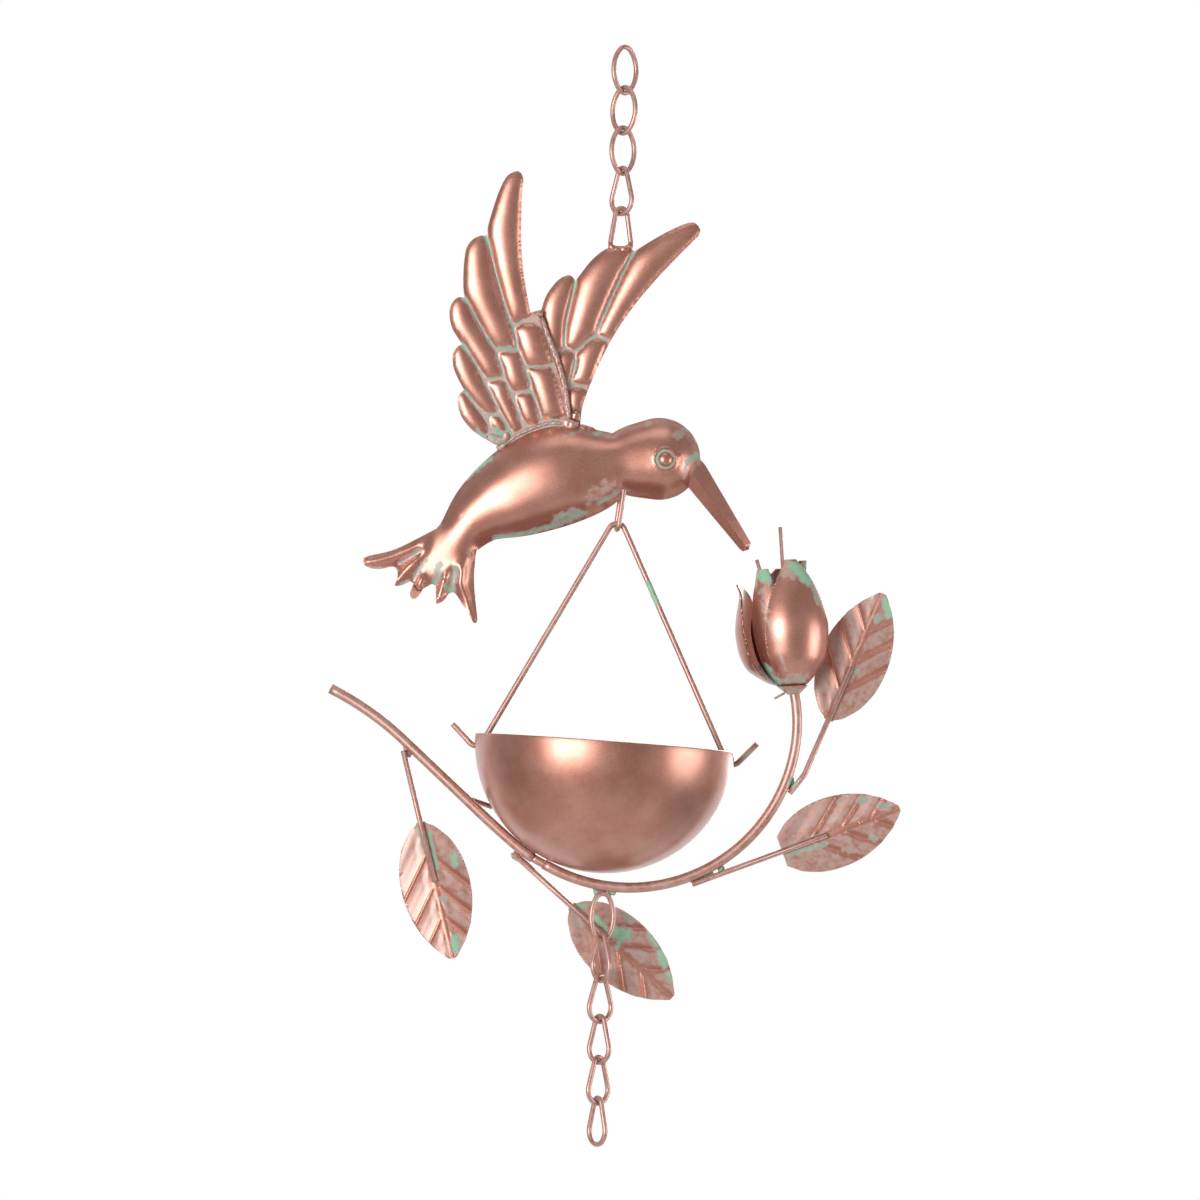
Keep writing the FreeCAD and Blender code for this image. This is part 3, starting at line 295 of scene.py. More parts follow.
TAIL_RIDGES = (
    ((-64.0, -191.5, 6.0), (-71.0, -193.6, 4.4), (-75.5, -195.6, 3.0), (-80.0, -197.4, 2.6),
     (-86.0, -199.9, 2.4), (-92.0, -201.6, 2.2), (-95.4, -202.0, 1.4)),
    ((-65.0, -194.0, 6.0), (-70.5, -197.0, 4.0), (-73.4, -199.3, 2.2), (-77.0, -202.2, 2.0),
     (-80.0, -205.1, 1.9), (-82.6, -208.6, 1.4), (-83.8, -210.4, 0.9)),
    ((-64.5, -195.5, 6.0), (-68.5, -199.0, 3.6), (-70.2, -201.8, 2.0), (-72.0, -205.0, 2.0),
     (-74.2, -209.0, 1.9), (-74.6, -211.4, 1.2)),
    ((-63.5, -196.5, 6.0), (-65.0, -200.5, 3.6), (-65.4, -203.2, 2.0), (-65.0, -207.0, 1.9),
     (-66.0, -212.0, 1.8), (-67.2, -216.4, 1.0)),
    ((-60.5, -196.0, 5.0), (-59.0, -201.5, 3.0), (-58.4, -206.0, 2.2), (-58.6, -210.0, 2.2),
     (-57.0, -214.6, 2.2), (-54.6, -221.0, 1.6), (-53.0, -224.0, 0.9)),
)
TAIL_SLOTS = (
    (-75.2, -197.2, -83.4, -202.8, 1.1),
    (-72.3, -201.0, -76.8, -208.6, 1.2),
    (-66.9, -202.8, -68.8, -210.4, 1.4),
    (-60.8, -205.0, -62.4, -213.0, 1.6),
)
# Solder: spacing of its points in mm, unevenness, and degrees past which its edges stay sharp
SOLDER_SPACING = 0.45
SOLDER_LUMPS = 0.18
SOLDER_CREASE = 80
# Lumps of solder as outline, middle y at the wings' foot in mm, lean, plumpness and verdigris
BIRD_SOLDER = (
    (((-50.2, -152.4), (-48.6, -151.2), (-46.6, -151.8), (-44.2, -152.2), (-43.0, -150.6), (-41.8, -150.8),
      (-41.4, -152.6), (-43.4, -154.6), (-46.0, -155.4), (-48.6, -154.4)), -3.0, 0.12, 0.3, 0.6),
    (((-17.8, -142.6), (-16.2, -141.4), (-14.6, -141.8), (-14.1, -144.4), (-14.6, -145.9), (-16.4, -145.2),
      (-17.6, -144.6)), -0.6, 0.07, 0.7, 0.25),
    (((-20.6, -144.4), (-18.2, -144.6), (-16.0, -145.4), (-14.6, -146.0), (-14.9, -148.0), (-17.0, -149.2),
      (-19.4, -148.8), (-21.0, -146.6)), -2.0, 0.12, 0.6, 0.46),
    (((-15.0, -147.2), (-13.4, -146.5), (-10.4, -147.2), (-8.6, -147.8), (-6.8, -149.6), (-8.6, -150.2),
      (-11.0, -150.0), (-14.0, -149.2)), -0.8, 0.0, 0.7, 0.25),
    (((-46.4, -156.0), (-44.0, -154.6), (-41.2, -152.8), (-38.0, -150.4), (-34.0, -148.6), (-30.0, -146.9),
      (-26.0, -145.8), (-21.6, -145.8), (-21.6, -147.2), (-26.0, -147.2), (-30.0, -148.5), (-34.0, -150.2),
      (-38.0, -152.2), (-41.2, -154.6), (-43.6, -157.0), (-45.6, -157.6)), -2.2, 0.12, 0.8, 0.6),
    (((-4.2, -75.4), (-2.6, -76.8), (0.4, -77.2), (2.4, -76.6), (3.6, -75.2), (4.4, -77.6), (2.0, -79.6),
      (-2.0, -79.4), (-4.8, -77.8)), 0.6, 0.066, 0.6, 0.2),
    (((-31.4, -106.2), (-28.6, -113.0), (-24.6, -123.0), (-21.4, -134.0), (-19.6, -144.0), (-17.6, -144.0),
      (-19.2, -133.0), (-22.4, -122.0), (-26.6, -112.0), (-29.4, -105.6)), -1.2, 0.1, 1.4, 0.5),
    (((-35.0, -104.4), (-33.0, -103.4), (-30.2, -102.8), (-29.4, -104.6), (-30.6, -106.4), (-33.2, -105.8)),
     -0.4, 0.095, 2.0, 0.5),
)
BRANCH_SOLDER = (
    (((-42.0, -302.4), (-40.2, -303.6), (-36.0, -307.6), (-31.6, -311.6), (-28.2, -314.6), (-28.0, -316.2),
      (-29.4, -315.8), (-33.0, -312.8), (-37.4, -309.0), (-41.4, -305.2)), -1.4, 0.0, 1.1, 0.8),
    (((-24.4, -316.7), (-22.6, -317.2), (-19.4, -318.4), (-17.0, -318.9), (-17.4, -319.8), (-20.4, -319.4),
      (-24.0, -318.4)), -1.2, 0.0, 1.1, 0.85),
    (((-4.6, -326.2), (-2.0, -326.5), (1.6, -326.8), (4.4, -326.8), (4.0, -328.6), (1.6, -328.4),
      (-1.4, -328.0), (-3.8, -328.9)), 0.0, 0.0, 1.2, 0.85),
    (((-36.6, -313.4), (-34.6, -313.0), (-31.6, -315.2), (-28.6, -317.8), (-27.0, -319.6), (-28.6, -320.0),
      (-32.0, -317.6), (-36.0, -315.4)), 0.0, 0.0, 1.2, 0.5),
    (((32.6, -322.6), (34.4, -321.6), (38.6, -319.8), (41.6, -318.6), (41.8, -319.8), (38.4, -321.6),
      (34.6, -323.2)), 0.0, 0.0, 1.2, 0.85),
    (((43.2, -316.4), (45.0, -315.4), (46.2, -316.8), (45.6, -318.8), (44.0, -319.0)), 0.0, 0.0, 0.9, 0.85),
    (((69.6, -281.0), (71.6, -280.6), (72.4, -283.4), (71.2, -286.2), (69.8, -285.4)), 0.0, 0.0, 0.9, 0.8),
    (((-79.6, -272.8), (-77.6, -273.0), (-76.0, -275.4), (-76.6, -277.4), (-78.4, -276.2)),
     0.0, 0.0, 0.9, 0.5),
)
# Bowl: sizes and place as in the solids, in mm and degrees
BOWL_RADIUS = 50.5
BOWL_WALL = 0.8
BOWL_TILT = 2.8
BOWL_HOLE = 4.8
BOWL_CENTRE = (-1.2, -269.75)
HOOK_DROP = 4.8
BAIL_WIRE = 2.2
LINK_GAP = 0.15
# Facets round the bowl, and degrees past which its edges stay sharp
BOWL_STEPS = 144
BOWL_CREASE = 50
# Painted shade on the bowl: round spots where its paint is darkened to stand in for dark reflections, as x,
# y, z, radius in mm and strength
BOWL_PAINTED_SHADE = (
    (34.0, -28.0, -294.0, 30.0, 0.25), (-34.0, -34.0, -280.0, 18.0, 0.15),
    (4.0, -42.0, -292.0, 16.0, 0.15), (12.0, -44.0, -272.0, 10.0, 0.15),
)
# Leaves: which way a blade runs from its foot to its tip, as x and z
LEAF_HEADINGS = {
    "leaf_left_blade": (0.2, -1.0),
    "leaf_low_blade": (0.75, -0.65),
    "leaf_right_blade": (0.93, 0.37),
    "leaf_top_blade": (0.4, 0.9),
}
# Stage: middle of the picture, floor, and each lamp's size and place from that middle, in m
MIDDLE = Vector((-0.0046, 0.0, -0.2145))
FLOOR_RADIUS = 0.4
FLOOR_Z = -0.72
LAMPS = {
    "key": (0.8, (-0.8, -1.3, -0.06)),
    "side": (0.7, (1.3, -0.3, -0.2)),
    "top": (0.9, (0.0, -0.3, 1.3)),
    "back": (0.9, (0.5, 1.4, 0.25)),
}
# Width of the camera's sensor, in mm
SENSOR = 36
# Node settings that many nodes share
SMOOTH = {"interpolation_type": "SMOOTHSTEP"}
COLOUR = {"data_type": "RGBA"}


# Colours and nodes
def linear(text):
    """A linear colour from an sRGB hex value."""
    values = [int(text[i:i + 2], 16) / 255 for i in (1, 3, 5)]
    return tuple(v / 12.92 if v <= 0.04045 else ((v + 0.055) / 1.055) ** 2.4 for v in values) + (1.0,)


def node(tree, kind, settings=None, inputs=None):
    """Adds a node, sets it up and links its inputs."""
    made = tree.nodes.new(kind)
    for key, value in (settings or {}).items():
        setattr(made, key, value)
    for key, value in (inputs or {}).items():
        if isinstance(value, bpy.types.NodeSocket):
            tree.links.new(value, made.inputs[key])
        else:
            made.inputs[key].default_value = value
    return made


# Settings
class FinishSettings(bpy.types.PropertyGroup):
    """Colours and grain of the paint"""
    copper: bpy.props.FloatVectorProperty(
        name="Copper paint", description="Main colour of the copper-effect paint",
        subtype="COLOR", size=4, min=0, max=1, default=linear("#CA8F7D"))
    shade: bpy.props.FloatVectorProperty(
        name="Deep paint", description="Darker colour where the paint lies thick",
        subtype="COLOR", size=4, min=0, max=1, default=linear("#B37460"))
    haze: bpy.props.FloatVectorProperty(
        name="Haze", description="Grey bloom that rubs off along the ridges",
        subtype="COLOR", size=4, min=0, max=1, default=linear("#C0A79F"))
    dull: bpy.props.FloatVectorProperty(
        name="Dull verdigris", description="Grey green left in the grooves",
        subtype="COLOR", size=4, min=0, max=1, default=linear("#98A294"))
    verdigris: bpy.props.FloatVectorProperty(
        name="Verdigris", description="Pale green where it lies thick",
        subtype="COLOR", size=4, min=0, max=1, default=linear("#90BC98"))
    # Real flakes are near 0.05 mm, and are drawn coarser so that they show
    flake: bpy.props.FloatProperty(
        name="Flake", description="Size of the metal flakes in the paint", unit="LENGTH", default=0.45 * MM)
    mottle: bpy.props.FloatProperty(
        name="Mottle", description="Size of the uneven patches of paint", unit="LENGTH", default=9 * MM)
    bloom: bpy.props.FloatProperty(
        name="Bloom", description="Size of the ragged edges of the verdigris", unit="LENGTH",
        default=2.4 * MM)


class ReliefSettings(bpy.types.PropertyGroup):
    """Fineness and height of the pressed relief"""
    spacing: bpy.props.FloatProperty(
        name="Wing spacing", description="Distance between points of a wing", unit="LENGTH",
        default=0.48 * MM)
    rise: bpy.props.FloatProperty(
        name="Feather rise", description="Height of a feather as a share of its half width",
        subtype="FACTOR", default=0.5)
    vein: bpy.props.FloatProperty(
        name="Vein rise", description="Height of a leaf's veins", unit="LENGTH", default=0.35 * MM)


class StageSettings(bpy.types.PropertyGroup):
    """Camera and lamps"""
    distance: bpy.props.FloatProperty(
        name="Camera distance", description="From the camera to the chain", unit="LENGTH", default=2.2)
    width: bpy.props.FloatProperty(
        name="Frame width", description="Width of the picture at the chain", unit="LENGTH", default=0.4651)
    rise: bpy.props.FloatProperty(
        name="Camera elevation", description="Camera above the level line", unit="ROTATION",
        default=math.radians(-2.4))
    roll: bpy.props.FloatProperty(
        name="Camera roll", description="Lean of the picture", unit="ROTATION", default=math.radians(1.43))
    key: bpy.props.FloatProperty(
        name="Key light", description="Power of the key lamp", unit="POWER", default=20.5)
    side: bpy.props.FloatProperty(
        name="Side light", description="Power of the side lamp", unit="POWER", default=7)
    top: bpy.props.FloatProperty(
        name="Top light", description="Power of the top lamp", unit="POWER", default=3)
    back: bpy.props.FloatProperty(
        name="Back light", description="Power of the back lamp", unit="POWER", default=11)


# Meshes
def select_only(piece):
    """Selects one piece and makes it active."""
    bpy.ops.object.select_all(action="DESELECT")
    piece.select_set(True)
    bpy.context.view_layer.objects.active = piece


def edit(piece):
    """Opens a piece for editing with all of it selected."""
    select_only(piece)
    bpy.ops.object.mode_set(mode="EDIT")
    bpy.ops.mesh.select_all(action="SELECT")


def close_edit(angle=CREASE):
    """Ends editing, with the curves shaded smooth."""
    bpy.ops.object.mode_set(mode="OBJECT")
    bpy.ops.object.shade_smooth_by_angle(angle=math.radians(angle))


def new_piece(name, mesh):
    """An object for a mesh, bare of materials."""
    mesh.name = name
    mesh.materials.clear()
    piece = bpy.data.objects.new(name, mesh)
    bpy.context.scene.collection.objects.link(piece)
    return piece


def smooth_copy(node_name, piece_name, cuts=0):
    """A copy of a solid with its loose triangles merged and its curves shaded smooth."""
    piece = new_piece(piece_name, frame["nodes"][node_name].data.copy())
    edit(piece)
    bpy.ops.mesh.remove_doubles(threshold=MERGE)
    if cuts:
        bpy.ops.mesh.subdivide(number_cuts=cuts)
    close_edit()
    return piece


def points_of(piece):
    """The piece's points in mm."""
    flat = np.empty(len(piece.data.vertices) * 3)
    piece.data.vertices.foreach_get("co", flat)
    return flat.reshape(-1, 3) / MM


def move_points(piece, points):
    """Puts the piece's points at places in mm."""
    piece.data.vertices.foreach_set("co", (points * MM).ravel())
    piece.data.update()


def stain(piece, values):
    """Keeps how much verdigris each point carries."""
    layer = piece.data.attributes.get("patina") or piece.data.attributes.new("patina", "FLOAT", "POINT")
    layer.data.foreach_set("value", np.clip(values, 0.0, 1.2).astype(np.float32))


def segment_distance(xz, a, b):
    """Distance of points from a segment in the x-z plane."""
    a = np.array(a)
    run = np.array(b) - a
    along = np.clip(((xz - a) @ run) / max(run @ run, 1e-9), 0.0, 1.0)
    return np.linalg.norm(xz - a - along[:, None] * run, axis=1)


def stains_at(points, marks):
    """The strongest stain at each point, soft at its rim."""
    x, z = points[:, 0], points[:, 2]
    wobble = np.column_stack([np.sin(2.1 * z + 1.3 * x), np.sin(1.7 * x - 0.8 * z + 2)])
    found = np.zeros(len(points))
    for x0, z0, x1, z1, width, strength in marks:
        xz = points[:, [0, 2]] + 0.25 * width * wobble
        reach = segment_distance(xz, (x0, z0), (x1, z1)) / width
        found = np.maximum(found, strength * np.clip(1.55 - 0.7 * reach, 0.0, 1.0))
    return found


def dress(piece, slot, material, *nodes, body=None):
    """Puts a piece on its body, in place of its solids, with its finish."""
    piece.data.materials.append(material)
    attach(piece, body or frame["nodes"][nodes[0]]["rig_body"])
    if nodes:
        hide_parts(*nodes)


# Finish
def near_spot(tree, place, spot, settings, inner, low, high):
    """A value that goes from low inside a round spot to high at its rim."""
    x, y, z, radius = spot
    reach = node(tree, "ShaderNodeVectorMath", {"operation": "DISTANCE"}, {
        0: place, 1: (x * MM, y * MM, z * MM)}).outputs["Value"]
    return node(tree, "ShaderNodeMapRange", settings, {
        "Value": reach, "From Min": inner * radius * MM, "From Max": radius * MM,
        "To Min": low, "To Max": high}).outputs["Result"]


def patina_amount(tree, place, stained, spots, bloom, wear):
    """How thick the verdigris lies, ragged at its edges."""
    look = bpy.context.scene.rain_finish
    ragged = node(tree, "ShaderNodeTexNoise", {}, {
        "Vector": place, "Scale": 1 / look.bloom, "Detail": 6.0, "Roughness": 0.7}).outputs["Fac"]
    amount = node(tree, "ShaderNodeMapRange", {}, {
        "Value": ragged, "From Min": 0.3, "From Max": 0.7, "To Min": bloom - wear, "To Max": bloom + wear,
    }).outputs["Result"]
    marks = [near_spot(tree, place, spot, {}, 0.4, strength, 0.0) for *spot, strength in spots]
    if stained:
        marks.insert(0, node(tree, "ShaderNodeAttribute", {"attribute_name": "patina"}).outputs["Fac"])
    for mark in marks:
        amount = node(tree, "ShaderNodeMath", {"operation": "ADD"}, {0: amount, 1: mark}).outputs[0]
    return amount


def flake_colour(tree, place, flakes, painted_shade, deeper_paint_and_painted_shade, grain):
    """The colour of clean copper paint: deeper in patches, darkened in round spots as painted shade, speckled
    by its flakes.
    """
    look = bpy.context.scene.rain_finish
    mottle = node(tree, "ShaderNodeTexNoise", {}, {
        "Vector": place, "Scale": 1 / look.mottle, "Detail": 3.0}).outputs["Fac"]
    # Paint laid deeper all over where asked; on the outer petal this is painted shade
    depth = node(tree, "ShaderNodeMapRange", {}, {
        "Value": mottle, "From Min": 0.35, "From Max": 0.65,
        "To Min": deeper_paint_and_painted_shade, "To Max": deeper_paint_and_painted_shade + 0.55}).outputs["Result"]
    paint = node(tree, "ShaderNodeMix", COLOUR, {0: depth, 6: look.copper, 7: look.shade}).outputs[2]
    speck = node(tree, "ShaderNodeMapRange", {}, {
        "Value": flakes, "From Min": 0.3, "From Max": 0.7,
        "To Min": 1 - 0.16 * grain, "To Max": 1 + 0.12 * grain}).outputs["Result"]
    # Painted shade: the paint is darkened in each round spot, standing in for dark reflections
    for *spot, strength in painted_shade:
        near = near_spot(tree, place, spot, SMOOTH, 0.0, 1 - strength, 1.0)
        speck = node(tree, "ShaderNodeMath", {"operation": "MULTIPLY"}, {0: speck, 1: near}).outputs[0]
    return node(tree, "ShaderNodeVectorMath", {"operation": "SCALE"}, {
        0: paint, "Scale": speck}).outputs[0]


def copper_paint(name, stained=False, spots=(), painted_shade=(), bloom=0.0, wear=0.28, grain=1.0, deeper_paint_and_painted_shade=0.0,
                 sheen=0.36):
    """Copper-effect lacquer sprayed on pressed steel, with dry green verdigris rubbed in."""
    # Metal flake under a satin coat gives wide soft highlights, and the verdigris on it is chalky and matt
    look = bpy.context.scene.rain_finish
    material = bpy.data.materials.new(name)
    material.use_nodes = True
    tree = material.node_tree
    shader = tree.nodes["Principled BSDF"]
    place = node(tree, "ShaderNodeTexCoord").outputs["Object"]
    flakes = node(tree, "ShaderNodeTexNoise", {}, {
        "Vector": place, "Scale": 1 / look.flake, "Detail": 2.0, "Roughness": 0.6}).outputs["Fac"]
    amount = patina_amount(tree, place, stained, spots, bloom, wear)
    haze = node(tree, "ShaderNodeMapRange", SMOOTH, {
        "Value": amount, "From Min": 0.25, "From Max": 0.55, "To Min": 0.0, "To Max": 0.8}).outputs["Result"]
    dull = node(tree, "ShaderNodeMapRange", SMOOTH, {
        "Value": amount, "From Min": 0.5, "From Max": 0.76}).outputs["Result"]
    green = node(tree, "ShaderNodeMapRange", SMOOTH, {
        "Value": amount, "From Min": 0.72, "From Max": 0.98}).outputs["Result"]
    paint = flake_colour(tree, place, flakes, painted_shade, deeper_paint_and_painted_shade, grain)
    for cover, colour in ((haze, look.haze), (dull, look.dull), (green, look.verdigris)):
        paint = node(tree, "ShaderNodeMix", COLOUR, {0: cover, 6: paint, 7: colour}).outputs[2]
    bare = node(tree, "ShaderNodeMath", {"operation": "MULTIPLY"}, {0: haze, 1: 0.5}).outputs[0]
    bare = node(tree, "ShaderNodeMath", {"operation": "MAXIMUM"}, {0: bare, 1: dull}).outputs[0]
    metal = node(tree, "ShaderNodeMapRange", {}, {
        "Value": bare, "To Min": 0.8, "To Max": 0.0}).outputs["Result"]
    rough = node(tree, "ShaderNodeMapRange", {}, {
        "Value": bare, "To Min": sheen - 0.1 * grain, "To Max": 0.78 - 0.1 * grain}).outputs["Result"]
    rough = node(tree, "ShaderNodeMath", {"operation": "MULTIPLY_ADD"}, {
        0: flakes, 1: 0.2 * grain, 2: rough}).outputs[0]
    grit = node(tree, "ShaderNodeMath", {"operation": "MULTIPLY_ADD"}, {
        0: bare, 1: 0.5, 2: flakes}).outputs[0]
    bump = node(tree, "ShaderNodeBump", {}, {"Strength": 0.2 * grain, "Distance": 0.1 * MM, "Height": grit})
    for socket, value in (("Base Color", paint), ("Metallic", metal), ("Roughness", rough),
                          ("Normal", bump.outputs[0])):
        tree.links.new(value, shader.inputs[socket])
    shader.inputs["Coat Weight"].default_value = 0.7
    shader.inputs["Coat Roughness"].default_value = 0.3
    return material


# Pressed sheet
def between(rows, i, t):
    """A place between two rows of numbers on a smooth curve through their neighbours."""
    before = rows[max(i - 1, 0)]
    after = rows[min(i + 2, len(rows) - 1)]
    return 0.5 * (2 * rows[i] + (rows[i + 1] - before) * t
                  + (2 * before - 5 * rows[i] + 4 * rows[i + 1] - after) * t ** 2
                  + (3 * rows[i] - before - 3 * rows[i + 1] + after) * t ** 3)


def smooth_rows(table, spacing):
    """Rows of numbers refined along a smooth curve, closer than the spacing, without the last one."""
    rows = np.array(table, float)
    out = []
    for i in range(len(rows) - 1):
        steps = max(2, int(np.linalg.norm(rows[i + 1, :2] - rows[i, :2]) / spacing))
        out += [between(rows, i, k / steps) for k in range(steps)]
    return np.array(out)


def outline_of(lobes, spacing=0.6):
    """An outline of lobes, each a smooth run between its notches."""
    return np.vstack([smooth_rows(lobe, spacing) for lobe in lobes])


def inside(xz, polygon):
    """Which points lie in a polygon."""
    hit = np.zeros(len(xz), bool)
    for (x0, z0), (x1, z1) in zip(polygon, np.roll(polygon, -1, axis=0)):
        crosses = (z0 > xz[:, 1]) != (z1 > xz[:, 1])
        slope = (x1 - x0) / (z1 - z0) if z1 != z0 else 0.0
        hit ^= crosses & (xz[:, 0] < x0 + (xz[:, 1] - z0) * slope)
    return hit


def rim_distance(xz, polygon):
    """Distance of points from a polygon's edge."""
    ends = np.roll(polygon, -1, axis=0)
    return np.min([segment_distance(xz, a, b) for a, b in zip(polygon, ends)], axis=0)


def sheet_grid(outlines, spacing, dense=None):
    """Points and triangles that fill some outlines, closer round one place given as x, z and radius."""
    every = np.vstack(outlines)
    low = every.min(axis=0)
    high = every.max(axis=0)

    def rows_of_points(step):
        rows = np.arange(low[1], high[1], step * 0.866)
        columns = np.arange(low[0], high[0], step)
        return np.array([(x + (k % 2) * step / 2, z) for k, z in enumerate(rows) for x in columns])
    fill = rows_of_points(spacing)
    if dense:
        x, z, radius = dense
        fine = rows_of_points(spacing * 0.4)
        fill = np.vstack([fill[np.hypot(fill[:, 0] - x, fill[:, 1] - z) > radius + spacing / 2],
                          fine[np.hypot(fine[:, 0] - x, fine[:, 1] - z) < radius]])
    within = np.any([inside(fill, line) for line in outlines], axis=0)
    clear = np.min([rim_distance(fill, line) for line in outlines], axis=0) > spacing * 0.6
    points = [Vector(p) for p in np.vstack([every, fill[within & clear]])]
    starts = np.cumsum([0] + [len(line) for line in outlines])
    loops = [list(range(a, b)) for a, b in zip(starts[:-1], starts[1:])]
    made = geometry.delaunay_2d_cdt(points, [], loops, 1, 1e-5)
    return np.array([tuple(p) for p in made[0]]), [tuple(f) for f in made[2]]


def pressed_sheet(name, points, triangles, thickness):
    """A sheet with a thickness behind its near side."""
    mesh = bpy.data.meshes.new(name)
    mesh.from_pydata((points * MM).tolist(), [], triangles)
    piece = new_piece(name, mesh)
    edit(piece)
    bpy.ops.mesh.extrude_region_move(TRANSFORM_OT_translate={"value": (0, thickness * MM, 0)})
    bpy.ops.mesh.select_all(action="SELECT")
    bpy.ops.mesh.normals_make_consistent(inside=False)
    close_edit()
    return piece


def neighbour_sum(values, edges, count):
    """The sum over each point's neighbours."""
    total = np.bincount(edges[:, 0], values[edges[:, 1]], count)
    return total + np.bincount(edges[:, 1], values[edges[:, 0]], count)


def edges_of(triangles):
    """The edges of a set of triangles, as pairs of points."""
    return np.array(sorted({tuple(sorted((f[k], f[k - 1]))) for f in triangles for k in range(3)}))


def pillow(free, edges, spacing, rounds):
    """Round-backed height over the free points: a soap film under pressure, made round by its root."""
    count = len(free)
    degree = np.maximum(neighbour_sum(np.ones(count), edges, count), 1)
    film = np.zeros(count)
    for _ in range(rounds):
        film = np.where(free, neighbour_sum(film, edges, count) / degree + spacing ** 2 / 4, 0.0)
    return np.sqrt(2 * film)


def soften(values, edges, rounds, held=False):
    """Values evened out with those of their neighbours, except where they are held."""
    count = len(values)
    degree = np.maximum(neighbour_sum(np.ones(count), edges, count), 1)
    for _ in range(rounds):
        values = np.where(held, values, 0.5 * values + 0.5 * neighbour_sum(values, edges, count) / degree)
    return values


def depths_in(xz, shapes):
    """How deep each point lies inside each of some outlines, less than zero outside, deepest first."""
    lines = [np.array(shape) for shape in shapes]
    found = [np.where(inside(xz, line), 1, -1) * rim_distance(xz, line) for line in lines]
    return -np.sort(-np.array(found + [np.full(len(xz), -99.0)]), axis=0)


# Wings
def wing_piece(name):
    """A pressed wing: filled outline, feathers raised, sheet thickness given, leaned on its foot."""
    relief = bpy.context.scene.rain_relief
    spacing = relief.spacing / MM
    base, lean = WINGS[name]
    outline = outline_of(WING_LOBES[name])
    xz, triangles = sheet_grid([outline], spacing)
    edges = edges_of(triangles)
    rim = rim_distance(xz, outline)
    depth, other = depths_in(xz, FEATHERS[name])[:2]
    free = (depth > -FEATHER_GROWTH) & ((depth - other) / 2 > GROOVE) & (rim > RIM_PIN)
    film = pillow(free, edges, spacing, FILM_ROUNDS)
    height = soften(relief.rise * (np.hypot(film, ROOT_ROUND) - ROOT_ROUND), edges, 2)
    places = np.column_stack([xz[:, 0], base - WING_SHEET - height, xz[:, 1]])
    piece = pressed_sheet(name + "_pressed", places, triangles, WING_SHEET)
    places = points_of(piece)
    near = places[:, [0, 2]]
    depth, other = depths_in(near, FEATHERS[name])[:2]
    groove = np.clip((2.1 * GROOVE - (depth - other) / 2) / GROOVE, 0.0, 1.0)
    groove = np.maximum(groove, np.clip((-depth - 0.7 * FEATHER_GROWTH) / 0.8, 0.0, 0.75))
    groove *= 0.34 + 0.3 * np.clip(rim_distance(near, outline) / 1.5, 0.0, 1.0)
    stain(piece, np.maximum(groove, stains_at(places, WING_STAINS)))
    foot = Vector((0, base, WING_FOOT_Z)) * MM
    turn = Matrix.Rotation(math.radians(lean), 4, "X")
    piece.data.transform(Matrix.Translation(foot) @ turn @ Matrix.Translation(-foot))
    return piece


class RAIN_OT_wings(bpy.types.Operator):
    """Presses the two wings with their feathers"""
    bl_idname = "rain.wings"
    bl_label = "Wings"

    def execute(self, context):
        paint = copper_paint("Copper paint on pressed wing", stained=True)
        for name in WINGS:
            dress(wing_piece(name), "bird_sheet", paint, name)
        return {"FINISHED"}


# Bird
def disc_outline(rows):
    """The outline round a run of discs."""
    run = np.gradient(rows, axis=0)
    length = np.hypot(run[:, 0], run[:, 1])
    heading = np.arctan2(run[:, 1], run[:, 0])
    opening = np.arccos(np.clip(-run[:, 2] / length, -1.0, 1.0))

    def around(k, angles):
        rim = np.column_stack([np.cos(angles), np.sin(angles)])
        return rows[k, :2] + rows[k, 2:3] * rim
    every = np.arange(len(rows))
    upper = around(every, heading + opening)
    lower = around(every, heading - opening)
    nose = around(np.full(60, -1), heading[-1] + opening[-1] * np.linspace(1, -1, 60))
    back = around(np.full(30, 0), heading[0] - math.pi + (math.pi - opening[0]) * np.linspace(1, -1, 30))
    return np.vstack([upper[:-1], nose, lower[::-1][1:-1], back[:-1]])


def envelope(rows, xz):
    """How far inside a run of discs points lie, 1 on the spine and 0 at the rim, and the nearest disc."""
    scores = np.array([1 - ((xz - row[:2]) ** 2).sum(axis=1) / row[2] ** 2 for row in rows])
    return scores.max(axis=0), scores.argmax(axis=0)


def swell(score):
    """A round back from how far inside a run of discs a point lies."""
    return np.where(score > 0, score * (1.6 - 0.6 * score), 1.6 * score)


def tail_relief(xz):
    """The ridges of the tail's feathers, sharp where they are narrow, and the slots between them."""
    ridge = np.zeros(len(xz))
    for table in TAIL_RIDGES:
        rows = smooth_rows(table, 0.8)
        score, nearest = envelope(rows, xz)
        inner = np.clip(score, 0.0, 1.0)
        sharp = 0.5 * np.clip((3.4 - rows[nearest, 2]) / 1.2, 0.0, 1.0)
        ridge = np.maximum(ridge, (1 - sharp) * swell(inner) + sharp * (1 - np.sqrt(1 - inner)))
    slot = np.zeros(len(xz))
    for x0, z0, x1, z1, width in TAIL_SLOTS:
        floor = np.clip((1.4 - segment_distance(xz, (x0, z0), (x1, z1)) / width) / 0.6, 0.0, 1.0)
        slot = np.maximum(slot, floor * floor * (3 - 2 * floor))
    reach = np.hypot(xz[:, 0] - TAIL_ROOT[0], xz[:, 1] - TAIL_ROOT[1])
    fade = np.clip((reach - RIDGE_FADE) / RIDGE_FADE, 0.0, 1.0)
    return TAIL_RIDGE * ridge * fade - SLOT_DEPTH * slot


